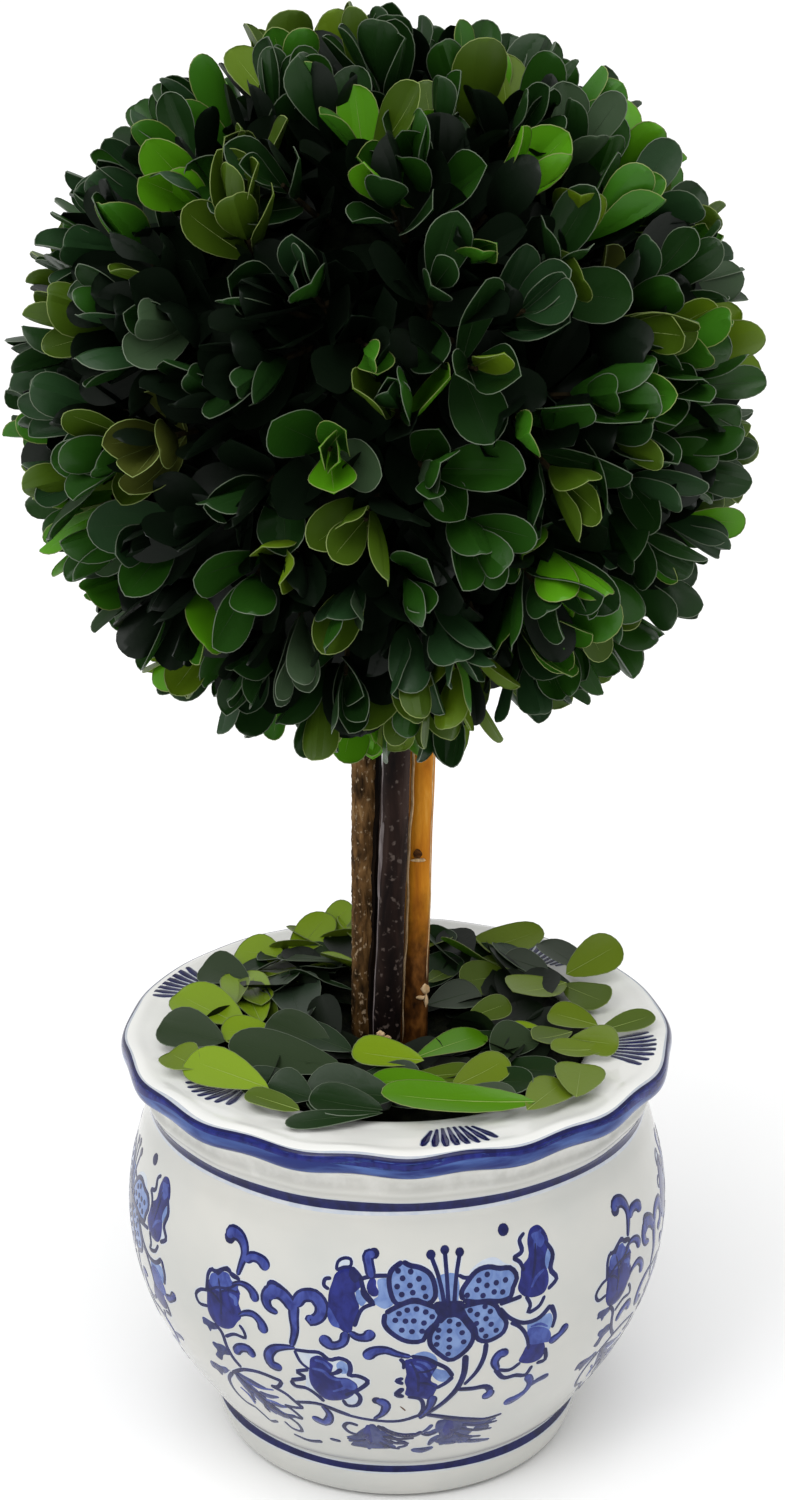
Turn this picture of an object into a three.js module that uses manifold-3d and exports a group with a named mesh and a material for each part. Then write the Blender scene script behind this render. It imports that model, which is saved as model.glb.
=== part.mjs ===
// Box topiary ball: a clipped ball of preserved box leaves on three cut stems that stand close together
// in a round porcelain pot with a scalloped rim. Loose box leaves cover the mouth of the pot.
// Millimetres, +Z up. The origin is the middle of the pot's flat underside, and the front faces -Y.
// An angle round the pot is measured from the front, and grows towards +X.

import * as THREE from 'three';
import { mergeVertices } from 'three/addons/utils/BufferGeometryUtils.js';
import Module from 'manifold-3d';

const wasm = await Module();
wasm.setup();

// Clear space between pieces that touch in the real object
const GAP = 0.3;

// Pot
const POT_HEIGHT = 101;
const RIM_RADIUS = 63.2;
const BELLY_RADIUS = 62.9;
const BELLY_HEIGHT = 57;
const NECK_RADIUS = 57.6;
const NECK_HEIGHT = 85.6;
const FOOT_RADIUS = 43.2;
const FOOT_HEIGHT = 9.5;
const FOOT_FLAT_RADIUS = 37.5;
const MOUTH_RADIUS = 44;
const WALL = 4.2;
const WALL_HEIGHTS = [78, 57, 36, 20];
const FLOOR_THICKNESS = 6;
const FLOOR_RADIUS = 35;
const FLANGE_DIP = 1.3;
const RIM_BAND_HEIGHT = 5.6;
const SCALLOPS = 16;
const SCALLOP_DEPTH = 0.35;
const SCALLOP_DROP = 0.3;
const SCALLOP_PHASE = THREE.MathUtils.degToRad(2.5);
const SCALLOP_FADE_RADIUS = 54;
const STEPS_PER_SCALLOP = 4;
const FILL_TOP = 88;
const FILL_INSET = 0.7;
const FILL_SEGMENTS = 32;
const MOUND_SEGMENTS = 24;

// Stems: foot and head of each axis, and the radius at each end
const STEM_FOOT_HEIGHT = 40;
const STEM_HEAD_HEIGHT = 236;
const STEM_SIDES = 12;
const STEMS = [
  { name: 'stem_left', foot: [-7.4, 1.9], head: [-6.9, 1.9], footRadius: 3.5, headRadius: 3.3, color: 0x4a3423 },
  { name: 'stem_middle', foot: [-4.7, -4.8], head: [2.3, -4.0], footRadius: 3.3, headRadius: 3.2, color: 0x241a1c },
  { name: 'stem_right', foot: [2.5, 1.9], head: [7.1, 1.9], footRadius: 3.25, headRadius: 3.1, color: 0xa8662a },
];

// Crown
const CROWN_CENTRE = new THREE.Vector3(-2.5, 0, 251);
const CROWN_REACH = 82.5;
const CORE_RADIUS = 58;
const BRANCHES = 29;
const FORK_SPREAD = 0.21;
const FORK_TURNS = 8;
const TWIG_REACH = 66.5;
const TWIG_RADIUS = 1.15;
const CROWN_LEAF_LENGTH = 23;
const WHORLS = [
  { place: 0.45, spread: 1.08, size: 1.05, slimness: 1.3 },
  { place: 0.8, spread: 0.68, size: 0.92, slimness: 1.4 },
];

// Leaf bed: rings of lying leaves, from the edge of the mouth inwards
const BED_EDGE_RADIUS = MOUTH_RADIUS - 1;
const BED_EDGE_HEIGHT = 99.2;
const BED_SWELL = 2.4;
const BED_HOLLOW = 3;
const BED_LEAF_LENGTH = 23;
const BED_LEAF_WIDTH = 14;
const BED_REACH = 58;
const BED_RINGS = [
  { count: 22, radius: 36.5, rise: 0.02, lift: 1.6 },
  { count: 19, radius: 29, rise: 0.12, lift: 0.9 },
  { count: 15, radius: 21, rise: 0.2, lift: 0.4 },
  { count: 9, radius: 13.5, rise: 0.3, lift: -0.2 },
];

// Leaf: share of the length at which it is widest, its thickness and how far its edges stand up
const LEAF_WIDEST = 0.6;
const LEAF_THICKNESS = 0.6;
const LEAF_CUP = 0.14;
const TWIG_SIDES = 3;
const ROOT_OVERLAP = 0.5;
const LEAF_TRIES = 12;

// The same random numbers on each run
function seededRandom(seed) {
  let state = seed;
  return () => {
    state = (state + 0x6d2b79f5) | 0;
    let mixed = Math.imul(state ^ (state >>> 15), 1 | state);
    mixed = (mixed + Math.imul(mixed ^ (mixed >>> 7), 61 | mixed)) ^ mixed;
    return ((mixed ^ (mixed >>> 14)) >>> 0) / 4294967296;
  };
}

function between(random, low, high) {
  return low + (high - low) * random();
}

// A closed solid from corner points and triangles that are counter-clockwise from outside
function solidFromFaces(points, faces) {
  const vertProperties = new Float32Array(points.flatMap((point) => point.toArray()));
  const triVerts = new Uint32Array(faces.flat());
  return new wasm.Manifold(new wasm.Mesh({ numProp: 3, vertProperties, triVerts }));
}

// A closed solid from a geometry, with its shared corners joined and its empty triangles left out
function solidFromGeometry(geometry) {
  const bare = geometry.clone();
  bare.deleteAttribute('normal');
  bare.deleteAttribute('uv');
  const merged = mergeVertices(bare, 1e-4);
  const index = merged.index.array;
  const faces = [];
  for (let i = 0; i < index.length; i += 3) {
    const [a, b, c] = [index[i], index[i + 1], index[i + 2]];
    if (a !== b && b !== c && c !== a) {
      faces.push(a, b, c);
    }
  }
  const vertProperties = new Float32Array(merged.attributes.position.array);
  return new wasm.Manifold(new wasm.Mesh({ numProp: 3, vertProperties, triVerts: new Uint32Array(faces) }));
}

function geometryFromSolid(solid) {
  const { vertProperties, triVerts, numProp } = solid.getMesh();
  const positions = new Float32Array((vertProperties.length / numProp) * 3);
  for (let i = 0; i < positions.length / 3; i += 1) {
    positions.set(vertProperties.subarray(i * numProp, i * numProp + 3), i * 3);
  }
  const geometry = new THREE.BufferGeometry();
  geometry.setAttribute('position', new THREE.BufferAttribute(positions, 3));
  geometry.setIndex(new THREE.BufferAttribute(new Uint32Array(triVerts), 1));
  geometry.computeVertexNormals();
  return geometry;
}

// Joins solids into one body. A sealed hollow is filled and a loose scrap is dropped.
function joined(solids) {
  const whole = solids.reduce((sum, solid) => sum.add(solid));
  const bodies = whole.decompose();
  return bodies.reduce((largest, body) => (body.volume() > largest.volume() ? body : largest));
}

function namedMesh(name, geometry, color, roughness) {
  const material = new THREE.MeshStandardMaterial({ color, roughness, metalness: 0 });
  const mesh = new THREE.Mesh(geometry, material);
  mesh.name = name;
  return mesh;
}

// A solid of revolution about Z from a closed outline of [radius, height] points
function turned(outline, segments, startAngle = 0) {
  const points = outline.map(([radius, height]) => new THREE.Vector2(radius, height));
  const geometry = new THREE.LatheGeometry(points, segments, startAngle);
  geometry.rotateX(Math.PI / 2);
  return geometry;
}

// Height of the flange's top face: level at the rim's crest, and dipping a little towards the mouth
function flangeHeight(radius) {
  const share = THREE.MathUtils.clamp((RIM_RADIUS - 2.5 - radius) / (RIM_RADIUS - 2.5 - MOUTH_RADIUS), 0, 1);
  return POT_HEIGHT - FLANGE_DIP * Math.sin((share * Math.PI) / 2);
}

// The pot's side from the waist over the foot, by the belly, to the neck
const BODY_CURVE = new THREE.SplineCurve([
  new THREE.Vector2(FOOT_RADIUS - 0.9, FOOT_HEIGHT + 1.2),
  new THREE.Vector2(48, 17.9),
  new THREE.Vector2(54.8, 28.8),
  new THREE.Vector2(60.4, 41.6),
  new THREE.Vector2(BELLY_RADIUS, BELLY_HEIGHT),
  new THREE.Vector2(62, 68),
  new THREE.Vector2(59.6, 77.5),
  new THREE.Vector2(NECK_RADIUS, NECK_HEIGHT),
]);

function bodyRadius(height) {
  const points = BODY_CURVE.getPoints(80);
  return points.find((point) => point.y >= height).x;
}

// Radius of the inside wall, which the fill follows too
function insideWall(inset) {
  return WALL_HEIGHTS.map((height) => [bodyRadius(height) - WALL - inset, height]);
}

function potOutline() {
  const bandFoot = POT_HEIGHT - RIM_BAND_HEIGHT;
  const lip = flangeHeight(MOUTH_RADIUS);
  return [
    [0, 0],
    [FOOT_FLAT_RADIUS, 0],
    [FOOT_RADIUS - 2.4, 1.4],
    [FOOT_RADIUS - 0.7, 4.5],
    [FOOT_RADIUS, FOOT_HEIGHT - 1.5],
    ...BODY_CURVE.getPoints(8).map((point) => point.toArray()),
    [NECK_RADIUS + 1.1, NECK_HEIGHT + 3.6],
    [NECK_RADIUS + 0.9, bandFoot - 2.4],
    [RIM_RADIUS - 1.6, bandFoot - 0.4],
    [RIM_RADIUS, bandFoot + 2],
    [RIM_RADIUS - 0.3, POT_HEIGHT - 1],
    [RIM_RADIUS - 2.5, POT_HEIGHT],
    [SCALLOP_FADE_RADIUS, flangeHeight(SCALLOP_FADE_RADIUS)],
    [MOUTH_RADIUS + 1, lip],
    [MOUTH_RADIUS, lip - 2],
    [MOUTH_RADIUS + 1, lip - WALL - 2.5],
    ...insideWall(0),
    [FLOOR_RADIUS, FLOOR_THICKNESS],
    [0, FLOOR_THICKNESS],
  ];
}

// The scallops push the rim out and down at each tip, and fade out across the flange and down the neck
function scallopRim(geometry) {
  const position = geometry.attributes.position;
  const point = new THREE.Vector3();
  for (let i = 0; i < position.count; i += 1) {
    point.fromBufferAttribute(position, i);
    const radius = Math.hypot(point.x, point.y);
    const acrossFlange = (radius - SCALLOP_FADE_RADIUS) / (RIM_RADIUS - 2.5 - SCALLOP_FADE_RADIUS);
    const upNeck = (point.z - NECK_HEIGHT) / (POT_HEIGHT - RIM_BAND_HEIGHT - NECK_HEIGHT);
    const share = THREE.MathUtils.clamp(Math.min(acrossFlange, upNeck), 0, 1);
    const wave = Math.cos(SCALLOPS * (Math.atan2(point.x, -point.y) - SCALLOP_PHASE));
    const stretch = radius > 0 ? (radius + SCALLOP_DEPTH * wave * share) / radius : 1;
    const drop = SCALLOP_DROP * (wave + 1) * share;
    position.setXYZ(i, point.x * stretch, point.y * stretch, point.z - drop);
  }
  return geometry;
}

function makePot() {
  const blank = turned(potOutline(), SCALLOPS * STEPS_PER_SCALLOP, SCALLOP_PHASE);
  return geometryFromSolid(solidFromGeometry(scallopRim(blank)));
}

// The fill follows the inside of the pot up to just under the mouth
function fillOutline() {
  const foot = FLOOR_THICKNESS + GAP;
  return [
    [0, foot],
    [FLOOR_RADIUS - FILL_INSET, foot],
    ...insideWall(FILL_INSET).reverse(),
    [MOUTH_RADIUS - FILL_INSET, FILL_TOP],
    [0, FILL_TOP],
  ];
}

function stemEnds(stem) {
  const foot = new THREE.Vector3(stem.foot[0], stem.foot[1], STEM_FOOT_HEIGHT);
  const head = new THREE.Vector3(stem.head[0], stem.head[1], STEM_HEAD_HEIGHT);
  return { foot, head };
}

// A tapered stick along +Y that is longer at both ends and wider all round by the given amount
function stickGeometry(stem, margin = 0) {
  const { foot, head } = stemEnds(stem);
  const length = foot.distanceTo(head) + margin * 2;
  return new THREE.CylinderGeometry(stem.headRadius + margin, stem.footRadius + margin, length, STEM_SIDES);
}

function placeStick(object, stem) {
  const { foot, head } = stemEnds(stem);
  const heading = head.clone().sub(foot).normalize();
  object.quaternion.setFromUnitVectors(new THREE.Vector3(0, 1, 0), heading);
  object.position.copy(foot).add(head).multiplyScalar(0.5);
  object.updateMatrix();
  return object;
}

// The room that the stems need in what they pass through
function stemSockets() {
  const margin = GAP / Math.cos(Math.PI / STEM_SIDES);
  const sockets = STEMS.map((stem) => {
    const place = placeStick(new THREE.Object3D(), stem);
    return solidFromGeometry(stickGeometry(stem, margin).applyMatrix4(place.matrix));
  });
  return sockets.reduce((sum, socket) => sum.add(socket));
}

// A leaf is a shallow boat with eight faces: it hangs from a short upright edge at its root, its two
// widest corners stand up by the cup, and its tip rises by half of that.
function leafCorners({ root, along, up, length, width }) {
  const side = new THREE.Vector3().crossVectors(along, up);
  const cup = LEAF_CUP * width;
  const at = (share, across, rise) => root.clone()
    .addScaledVector(along, share * length)
    .addScaledVector(side, across)
    .addScaledVector(up, rise);
  return [
    at(0, 0, LEAF_THICKNESS),
    at(0, 0, 0),
    at(LEAF_WIDEST, -width / 2, cup),
    at(LEAF_WIDEST, width / 2, cup),
    at(1, 0, cup / 2),
    at(LEAF_WIDEST, 0, cup * 0.3 + LEAF_THICKNESS),
  ];
}

const LEAF_FACES = [[0, 3, 5], [3, 4, 5], [4, 2, 5], [2, 0, 5], [1, 2, 4], [1, 4, 3], [0, 2, 1], [0, 1, 3]];

// A twig has three sides and tapers a little from its foot to its tip
function twigSolid(foot, tip) {
  const heading = tip.clone().sub(foot).normalize();
  const ring = (centre, radius) => Array.from({ length: TWIG_SIDES }, (_, corner) => {
    const out = crosswise(heading).applyAxisAngle(heading, (corner * 2 * Math.PI) / TWIG_SIDES);
    return centre.clone().addScaledVector(out, radius);
  });
  const points = [...ring(foot, TWIG_RADIUS * 1.2), ...ring(tip, TWIG_RADIUS)];
  const sides = [0, 1, 2].flatMap((i) => {
    const next = (i + 1) % TWIG_SIDES;
    return [[i, next, next + TWIG_SIDES], [i, next + TWIG_SIDES, i + TWIG_SIDES]];
  });
  return solidFromFaces(points, [...sides, [0, 2, 1], [3, 4, 5]]);
}

// Any direction square to the given one
function crosswise(heading) {
  const helper = Math.abs(heading.z) < 0.9 ? new THREE.Vector3(0, 0, 1) : new THREE.Vector3(1, 0, 0);
  return new THREE.Vector3().crossVectors(heading, helper).normalize();
}

// Direction number i of a count that covers the sphere evenly, by the golden angle
function evenDirection(i, count) {
  const height = 1 - (2 * (i + 0.5)) / count;
  const angle = i * Math.PI * (3 - Math.sqrt(5));
  const radius = Math.sqrt(1 - height * height);
  return new THREE.Vector3(radius * Math.cos(angle), radius * Math.sin(angle), height);
}

// True where a stretch between two points comes closer to a stem than the margin
function nearsStem(start, end, margin) {
  const samples = [0, 0.125, 0.25, 0.375, 0.5, 0.625, 0.75, 0.875, 1];
  return STEMS.some((stem) => {
    const { foot, head } = stemEnds(stem);
    const axis = new THREE.Line3(foot, head);
    return samples.some((share) => {
      const point = start.clone().lerp(end, share);
      const nearest = axis.closestPointToPoint(point, true, new THREE.Vector3());
      return point.distanceTo(nearest) < stem.footRadius + margin;
    });
  });
}

function leafNearsStem(corners, margin) {
  const [, root, left, right, tip] = corners;
  const stretches = [[root, tip], [root, left], [root, right], [left, tip], [right, tip], [left, right]];
  return stretches.some(([start, end]) => nearsStem(start, end, margin));
}

// Makes the first of several tries at a leaf that passes the test and crosses none of the leaves already
// grown, which may only share a root with it
function growLeaf(grown, tryLeaf, passes) {
  for (let i = 0; i < LEAF_TRIES; i += 1) {
    const corners = tryLeaf();
    const solid = solidFromFaces(corners, LEAF_FACES);
    const middle = corners[2].clone().add(corners[3]).multiplyScalar(0.5);
    const near = grown.filter((leaf) => leaf.middle.distanceTo(middle) < CROWN_LEAF_LENGTH);
    if (passes(corners) && !near.some((leaf) => leaf.solid.intersect(solid).volume() > ROOT_OVERLAP)) {
      grown.push({ solid, middle });
      return;
    }
  }
}

// A leaf grows from the middle of a side of its twig and leans out, with its upper face to the twig's tip
function whorlLeaf(foot, tip, whorl, side, random) {
  const heading = tip.clone().sub(foot).normalize();
  const angle = ((side + 0.5) * 2 * Math.PI) / TWIG_SIDES + between(random, -0.12, 0.12);
  const out = crosswise(heading).applyAxisAngle(heading, angle);
  const spread = whorl.spread * between(random, 0.8, 1.15);
  const along = heading.clone().multiplyScalar(Math.cos(spread)).addScaledVector(out, Math.sin(spread));
  const up = heading.clone().addScaledVector(along, -heading.dot(along)).normalize();
  up.applyAxisAngle(along, between(random, -0.35, 0.35));
  const root = foot.clone().lerp(tip, whorl.place);
  const length = CROWN_LEAF_LENGTH * whorl.size * between(random, 0.85, 1.1);
  return leafCorners({ root, along, up, length, width: length / whorl.slimness });
}

function growWhorls(grown, foot, tip, passes, random) {
  for (const whorl of WHORLS) {
    for (let side = 0; side < TWIG_SIDES; side += 1) {
      growLeaf(grown, () => whorlLeaf(foot, tip, whorl, side, random), passes);
    }
  }
}

// The two twigs of a branch lean away from each other, turned to where most room is left
function forkedTwigs(branch, others, random) {
  const start = between(random, 0, Math.PI);
  const pairs = Array.from({ length: FORK_TURNS }, (_, i) => {
    const aside = crosswise(branch).applyAxisAngle(branch, start + (i * Math.PI) / FORK_TURNS);
    return [-1, 1].map((way) => branch.clone().addScaledVector(aside, way * Math.tan(FORK_SPREAD)).normalize());
  });
  const room = (pair) => Math.min(...pair.map((twig) => Math.min(1, ...others.map((other) => twig.angleTo(other)))));
  return pairs.reduce((best, pair) => (room(pair) > room(best) ? pair : best));
}

// The crown's branches leave the head of its stem inside the core, evenly to all sides, and each forks
// into two twigs before it reaches the core's face. What lies deeper in the core isn't made. A twig or
// leaf that would leave the crown's reach or touch a stem is left out.
function makeCrown(sockets) {
  const random = seededRandom(61);
  const core = new THREE.IcosahedronGeometry(CORE_RADIUS, 4).translate(...CROWN_CENTRE.toArray());
  const pieces = [solidFromGeometry(core).subtract(sockets)];
  const directions = [];
  const leaves = [];
  const fits = (corners) => !leafNearsStem(corners, GAP * 2)
    && corners.every((corner) => corner.distanceTo(CROWN_CENTRE) < CROWN_REACH);
  for (let i = 0; i < BRANCHES; i += 1) {
    directions.push(...forkedTwigs(evenDirection(i, BRANCHES), directions, random));
  }
  for (const direction of directions) {
    const foot = CROWN_CENTRE.clone().addScaledVector(direction, CORE_RADIUS - 3);
    const tip = CROWN_CENTRE.clone().addScaledVector(direction, TWIG_REACH * between(random, 0.98, 1.02));
    if (!nearsStem(foot, tip, TWIG_RADIUS + GAP * 2)) {
      pieces.push(twigSolid(foot, tip));
      growWhorls(leaves, foot, tip, fits, random);
    }
  }
  return geometryFromSolid(joined([...pieces, ...leaves.map((leaf) => leaf.solid)]));
}

// Height of the mound under the loose leaves: it swells between the mouth's edge and a hollow at the stems
function moundHeight(radius) {
  const share = THREE.MathUtils.clamp(radius / BED_EDGE_RADIUS, 0, 1);
  return BED_EDGE_HEIGHT + BED_SWELL * Math.sin(share * Math.PI) - BED_HOLLOW * (1 - share) ** 2;
}

function moundSolid() {
  const shares = [1, 0.86, 0.7, 0.5, 0.3, 0.15, 0];
  const top = shares.map((share) => [share * BED_EDGE_RADIUS, moundHeight(share * BED_EDGE_RADIUS)]);
  const outline = [[0, FILL_TOP + GAP], [BED_EDGE_RADIUS - 0.6, FILL_TOP + GAP], ...top];
  return solidFromGeometry(turned(outline, MOUND_SEGMENTS));
}

// A leaf of a ring lies in a loose swirl, with its root sunk in the mound and its tip outward
function bedLeaf(ring, place, random) {
  const angle = ((place + between(random, -0.4, 0.4)) * 2 * Math.PI) / ring.count;
  const radius = ring.radius * between(random, 0.94, 1.06);
  const swirl = angle + between(random, -0.75, 0.75);
  const rise = ring.rise + between(random, -0.02, 0.16);
  const root = new THREE.Vector3(radius * Math.sin(angle), -radius * Math.cos(angle), 0);
  root.z = moundHeight(radius) + ring.lift - 1.5;
  const level = new THREE.Vector3(Math.sin(swirl), -Math.cos(swirl), 0);
  const along = level.clone().multiplyScalar(Math.cos(rise)).setZ(Math.sin(rise));
  const up = level.clone().multiplyScalar(-Math.sin(rise)).setZ(Math.cos(rise));
  up.applyAxisAngle(along, between(random, -0.3, 0.3));
  const size = between(random, 0.85, 1.15);
  return clearOfFlange(leafCorners({ root, along, up, length: BED_LEAF_LENGTH * size, width: BED_LEAF_WIDTH * size }));
}

// A lying leaf is lifted until it clears the flange
function clearOfFlange(corners) {
  const lift = Math.max(0, ...corners.slice(1).map((corner) => {
    const radius = Math.hypot(corner.x, corner.y);
    return radius < BED_EDGE_RADIUS ? 0 : flangeHeight(radius) + GAP * 1.5 - corner.z;
  }));
  return corners.map((corner, i) => (i < 2 ? corner : corner.clone().setZ(corner.z + lift)));
}

function makeLeafBed(sockets) {
  const random = seededRandom(17);
  const leaves = [];
  const fits = (corners) => !leafNearsStem(corners, GAP * 2)
    && corners.every((corner) => Math.hypot(corner.x, corner.y) < BED_REACH);
  for (const ring of BED_RINGS) {
    for (let place = 0; place < ring.count; place += 1) {
      growLeaf(leaves, () => bedLeaf(ring, place, random), fits);
    }
  }
  return geometryFromSolid(joined([moundSolid().subtract(sockets), ...leaves.map((leaf) => leaf.solid)]));
}

function makeFill(sockets) {
  return geometryFromSolid(solidFromGeometry(turned(fillOutline(), FILL_SEGMENTS)).subtract(sockets));
}

const sockets = stemSockets();
const topiary = new THREE.Group();
topiary.name = 'box_topiary_ball';
topiary.add(namedMesh('pot', makePot(), 0xdfdfd8, 0.12));
topiary.add(namedMesh('pot_fill', makeFill(sockets), 0x4a5240, 0.95));
topiary.add(namedMesh('leaf_bed', makeLeafBed(sockets), 0x4c6b22, 0.6));
for (const stem of STEMS) {
  topiary.add(placeStick(namedMesh(stem.name, stickGeometry(stem), stem.color, 0.85), stem));
}
topiary.add(namedMesh('crown', makeCrown(sockets), 0x23412a, 0.6));

export default topiary;
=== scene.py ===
import bpy
import math
import numpy as np
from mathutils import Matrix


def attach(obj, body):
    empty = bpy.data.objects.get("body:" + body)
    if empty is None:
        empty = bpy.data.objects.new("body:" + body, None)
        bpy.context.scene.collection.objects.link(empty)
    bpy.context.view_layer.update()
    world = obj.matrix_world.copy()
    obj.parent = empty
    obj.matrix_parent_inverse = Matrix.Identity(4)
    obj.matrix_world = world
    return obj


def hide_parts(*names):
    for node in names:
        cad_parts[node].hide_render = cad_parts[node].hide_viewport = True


# Box topiary ball on three cut stems in a blue and white porcelain pot.
# Sizes are in millimetres until a mesh is filled. An angle round the pot starts at the front (-Y) and
# grows towards +X.

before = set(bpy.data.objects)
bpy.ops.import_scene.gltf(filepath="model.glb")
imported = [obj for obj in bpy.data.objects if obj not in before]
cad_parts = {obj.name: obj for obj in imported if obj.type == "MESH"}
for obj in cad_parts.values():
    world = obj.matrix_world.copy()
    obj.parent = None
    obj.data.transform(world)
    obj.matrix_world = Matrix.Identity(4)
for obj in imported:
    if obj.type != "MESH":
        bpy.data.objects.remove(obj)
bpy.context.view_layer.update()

MM = 0.001
TURN = 2 * math.pi
# How ragged a border between two colours is, as a share of the height over which it runs
RAGGED = 0.9

# Pot
POT_HEIGHT = 101
RIM_RADIUS = 63.2
BELLY_RADIUS = 62.9
BELLY_HEIGHT = 57
NECK_RADIUS = 57.6
NECK_HEIGHT = 85.6
FOOT_RADIUS = 43.2
FOOT_HEIGHT = 9.5
FOOT_FLAT_RADIUS = 37.5
MOUTH_RADIUS = 44
CREST_RADIUS = RIM_RADIUS - 2.5
FLANGE_DIP = 1.3
BAND_FOOT = POT_HEIGHT - 5.6
SCALLOPS = 16
SCALLOP_DEPTH = 0.35
SCALLOP_DROP = 0.3
SCALLOP_PHASE = math.radians(2.5)
SCALLOP_FADE_RADIUS = 54
POT_COLUMNS = 320
SPRAYS = 4
# Angle in degrees and radius of each fan on the flange
FANS = [(13.5, 55), (79, 55), (137, 56), (-166, 55), (-114, 57), (-53, 50.5)]

# Stems: axis at its foot and head, and the radius there
STEM_FOOT_HEIGHT = 40
STEM_HEAD_HEIGHT = 236
STEMS = {
    "stem_left": {"foot": (-7.4, 1.9), "head": (-6.9, 1.9), "radii": (3.5, 3.3)},
    "stem_middle": {"foot": (-4.7, -4.8), "head": (2.3, -4.0), "radii": (3.3, 3.2)},
    "stem_right": {"foot": (2.5, 1.9), "head": (7.1, 1.9), "radii": (3.25, 3.1)},
}
# How far leaves keep off the stems
STEM_MARGIN = 0.4
STEM_ROWS = 330
STEM_COLUMNS = 64
EDGE_ROWS = 70

# Crown
CROWN_CENTRE = np.array([-2.5, 0, 251])
CROWN_REACH = 82.4
CORE_RADIUS = 50
BRANCHES = 29
FORK_SPREAD = 0.21
FORK_TURNS = 8
TWIG_START = 30
TWIG_REACH = 56
SHOOTS = 222
# Distances from the crown's middle at which a shoot leaves its twig, bends and ends
SHOOT_FOOT = 40
SHOOT_KNEE = 50
SHOOT_REACH = 66.5
CROWN_SEED = 61
# Share of the leaves whose tint isn't their spray's
STRAYS = 0.3
# Pairs of leaves: place along the shoot, angle from it in radians, and length
PAIRS = [
    {"place": 0.0, "opening": 1.05, "size": 20.0},
    {"place": 0.28, "opening": 0.88, "size": 20.5},
    {"place": 0.52, "opening": 0.70, "size": 20.0},
    {"place": 0.75, "opening": 0.52, "size": 18.5},
    {"place": 0.97, "opening": 0.32, "size": 15.5},
]

# Leaf bed
BED_EDGE_RADIUS = MOUTH_RADIUS - 1
BED_EDGE_HEIGHT = 99.2
BED_SWELL = 2.4
BED_HOLLOW = 3
BED_FLOOR = 88.3
BED_REACH = 61
BED_SEED = 17
# Inside this radius a loose leaf lies in the heap, and one outside it may lie on the flange
HEAP_RADIUS = 36
# The listed leaves cover the bed up to this far back, and the loose ones under them lie so much lower
COVERED_TO = 15
COVER_DEPTH = 2.5
# How far leaves keep above the flange, and how far the mound of painted shadow lies under its height
FLANGE_GAP = 0.55
SHADOW_MOUND_DROP = 1.2
# Rings of loose leaves: how many, where, how they rise, lie and stray, and over which angles
BED_RINGS = [
    {"count": 26, "radius": 43, "rise": 0.0, "lift": 0.4, "lie": 1.57, "loose": 0.45, "arc": (0, TURN)},
    {"count": 22, "radius": 37, "rise": 0.0, "lift": 0.8, "lie": 1.2, "loose": 0.8, "arc": (0, TURN)},
    {"count": 20, "radius": 31, "rise": 0.05, "lift": 1.6, "lie": 0.8, "loose": 1.0, "arc": (0, TURN)},
    {"count": 17, "radius": 24, "rise": 0.1, "lift": 1.8, "lie": 0.5, "loose": 1.0, "arc": (0, TURN)},
    {"count": 12, "radius": 16, "rise": 0.16, "lift": 1.2, "lie": 0.0, "loose": 1.0, "arc": (0, TURN)},
    {"count": 12, "radius": 43, "rise": 0.05, "lift": 2.6, "lie": 1.2, "loose": 0.8, "arc": (1.7, 4.6)},
    {"count": 10, "radius": 33, "rise": 0.1, "lift": 3.4, "lie": 0.8, "loose": 1.0, "arc": (1.7, 4.6)},
]

# Leaves
LEAF_SHARES = np.array([0, 0.08, 0.22, 0.4, 0.56, 0.7, 0.81, 0.89, 0.95, 0.988, 1])
RIM_RADIUS_OF_LEAF = 0.11
RIB_RADIUS_OF_LEAF = 0.15
# Shares along the midrib, which ends short of the tip
RIB_SHARES = np.array([0.0, 0.02, 0.25, 0.5, 0.72, 0.9])
# How the half-width closes at the tip, and what brings its widest place to the full width
TIP_POWER = 2.9
WIDEST = 0.68
LEAF_NUMBERS = ("length", "width", "curl", "cup", "fullness", "wave", "twist")


# Arrays of points and directions

def unit(vectors):
    """Each vector divided by its own length."""
    return vectors / np.linalg.norm(vectors, axis=-1, keepdims=True)


def crosswise(headings):
    """Directions square to the given ones: the cross product with +Z, or with +X where they run near +Z."""
    helper = np.where(np.abs(headings[..., 2:]) < 0.9, [0.0, 0.0, 1.0], [1.0, 0.0, 0.0])
    return unit(np.cross(headings, helper))


def turned(vectors, axes, angles):
    """Vectors turned about unit axes: the part along the axis stays, and the rest goes round it."""
    angles = np.asarray(angles)[..., None]
    along = axes * np.sum(vectors * axes, axis=-1, keepdims=True)
    return along + (vectors - along) * np.cos(angles) + np.cross(axes, vectors) * np.sin(angles)


def spread(*parts):
    """Points or directions from their parts, which are first brought to one shape."""
    return np.stack(np.broadcast_arrays(*parts), axis=-1)


def circle(count):
    """Even angles round one turn."""
    return np.arange(count) * TURN / count


def polar(radius, angle, height):
    """Points at a radius and an angle from the middle, where the angle starts at the front."""
    return spread(radius * np.sin(angle), -radius * np.cos(angle), height)


def ball_directions(rows, columns):
    """Directions over a ball, row by row from its lowest point to its highest."""
    tilt = np.linspace(0, math.pi, rows)[::-1, None]
    return polar(np.sin(tilt), circle(columns)[None, :], np.cos(tilt))


def smooth_step(values):
    """Zero up to 0, one from 1 on, and a smooth cubic between."""
    shares = np.clip(values, 0, 1)
    return shares * shares * (3 - 2 * shares)


def lattice_number(cells, seed):
    """A number from -1 to 1 for each cell: the broken part of a large sine of its place."""
    phase = cells @ np.array([127.1, 311.7, 74.7]) + seed * 17.3
    return 2 * np.modf(np.abs(np.sin(phase) * 43758.5453))[0] - 1


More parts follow.
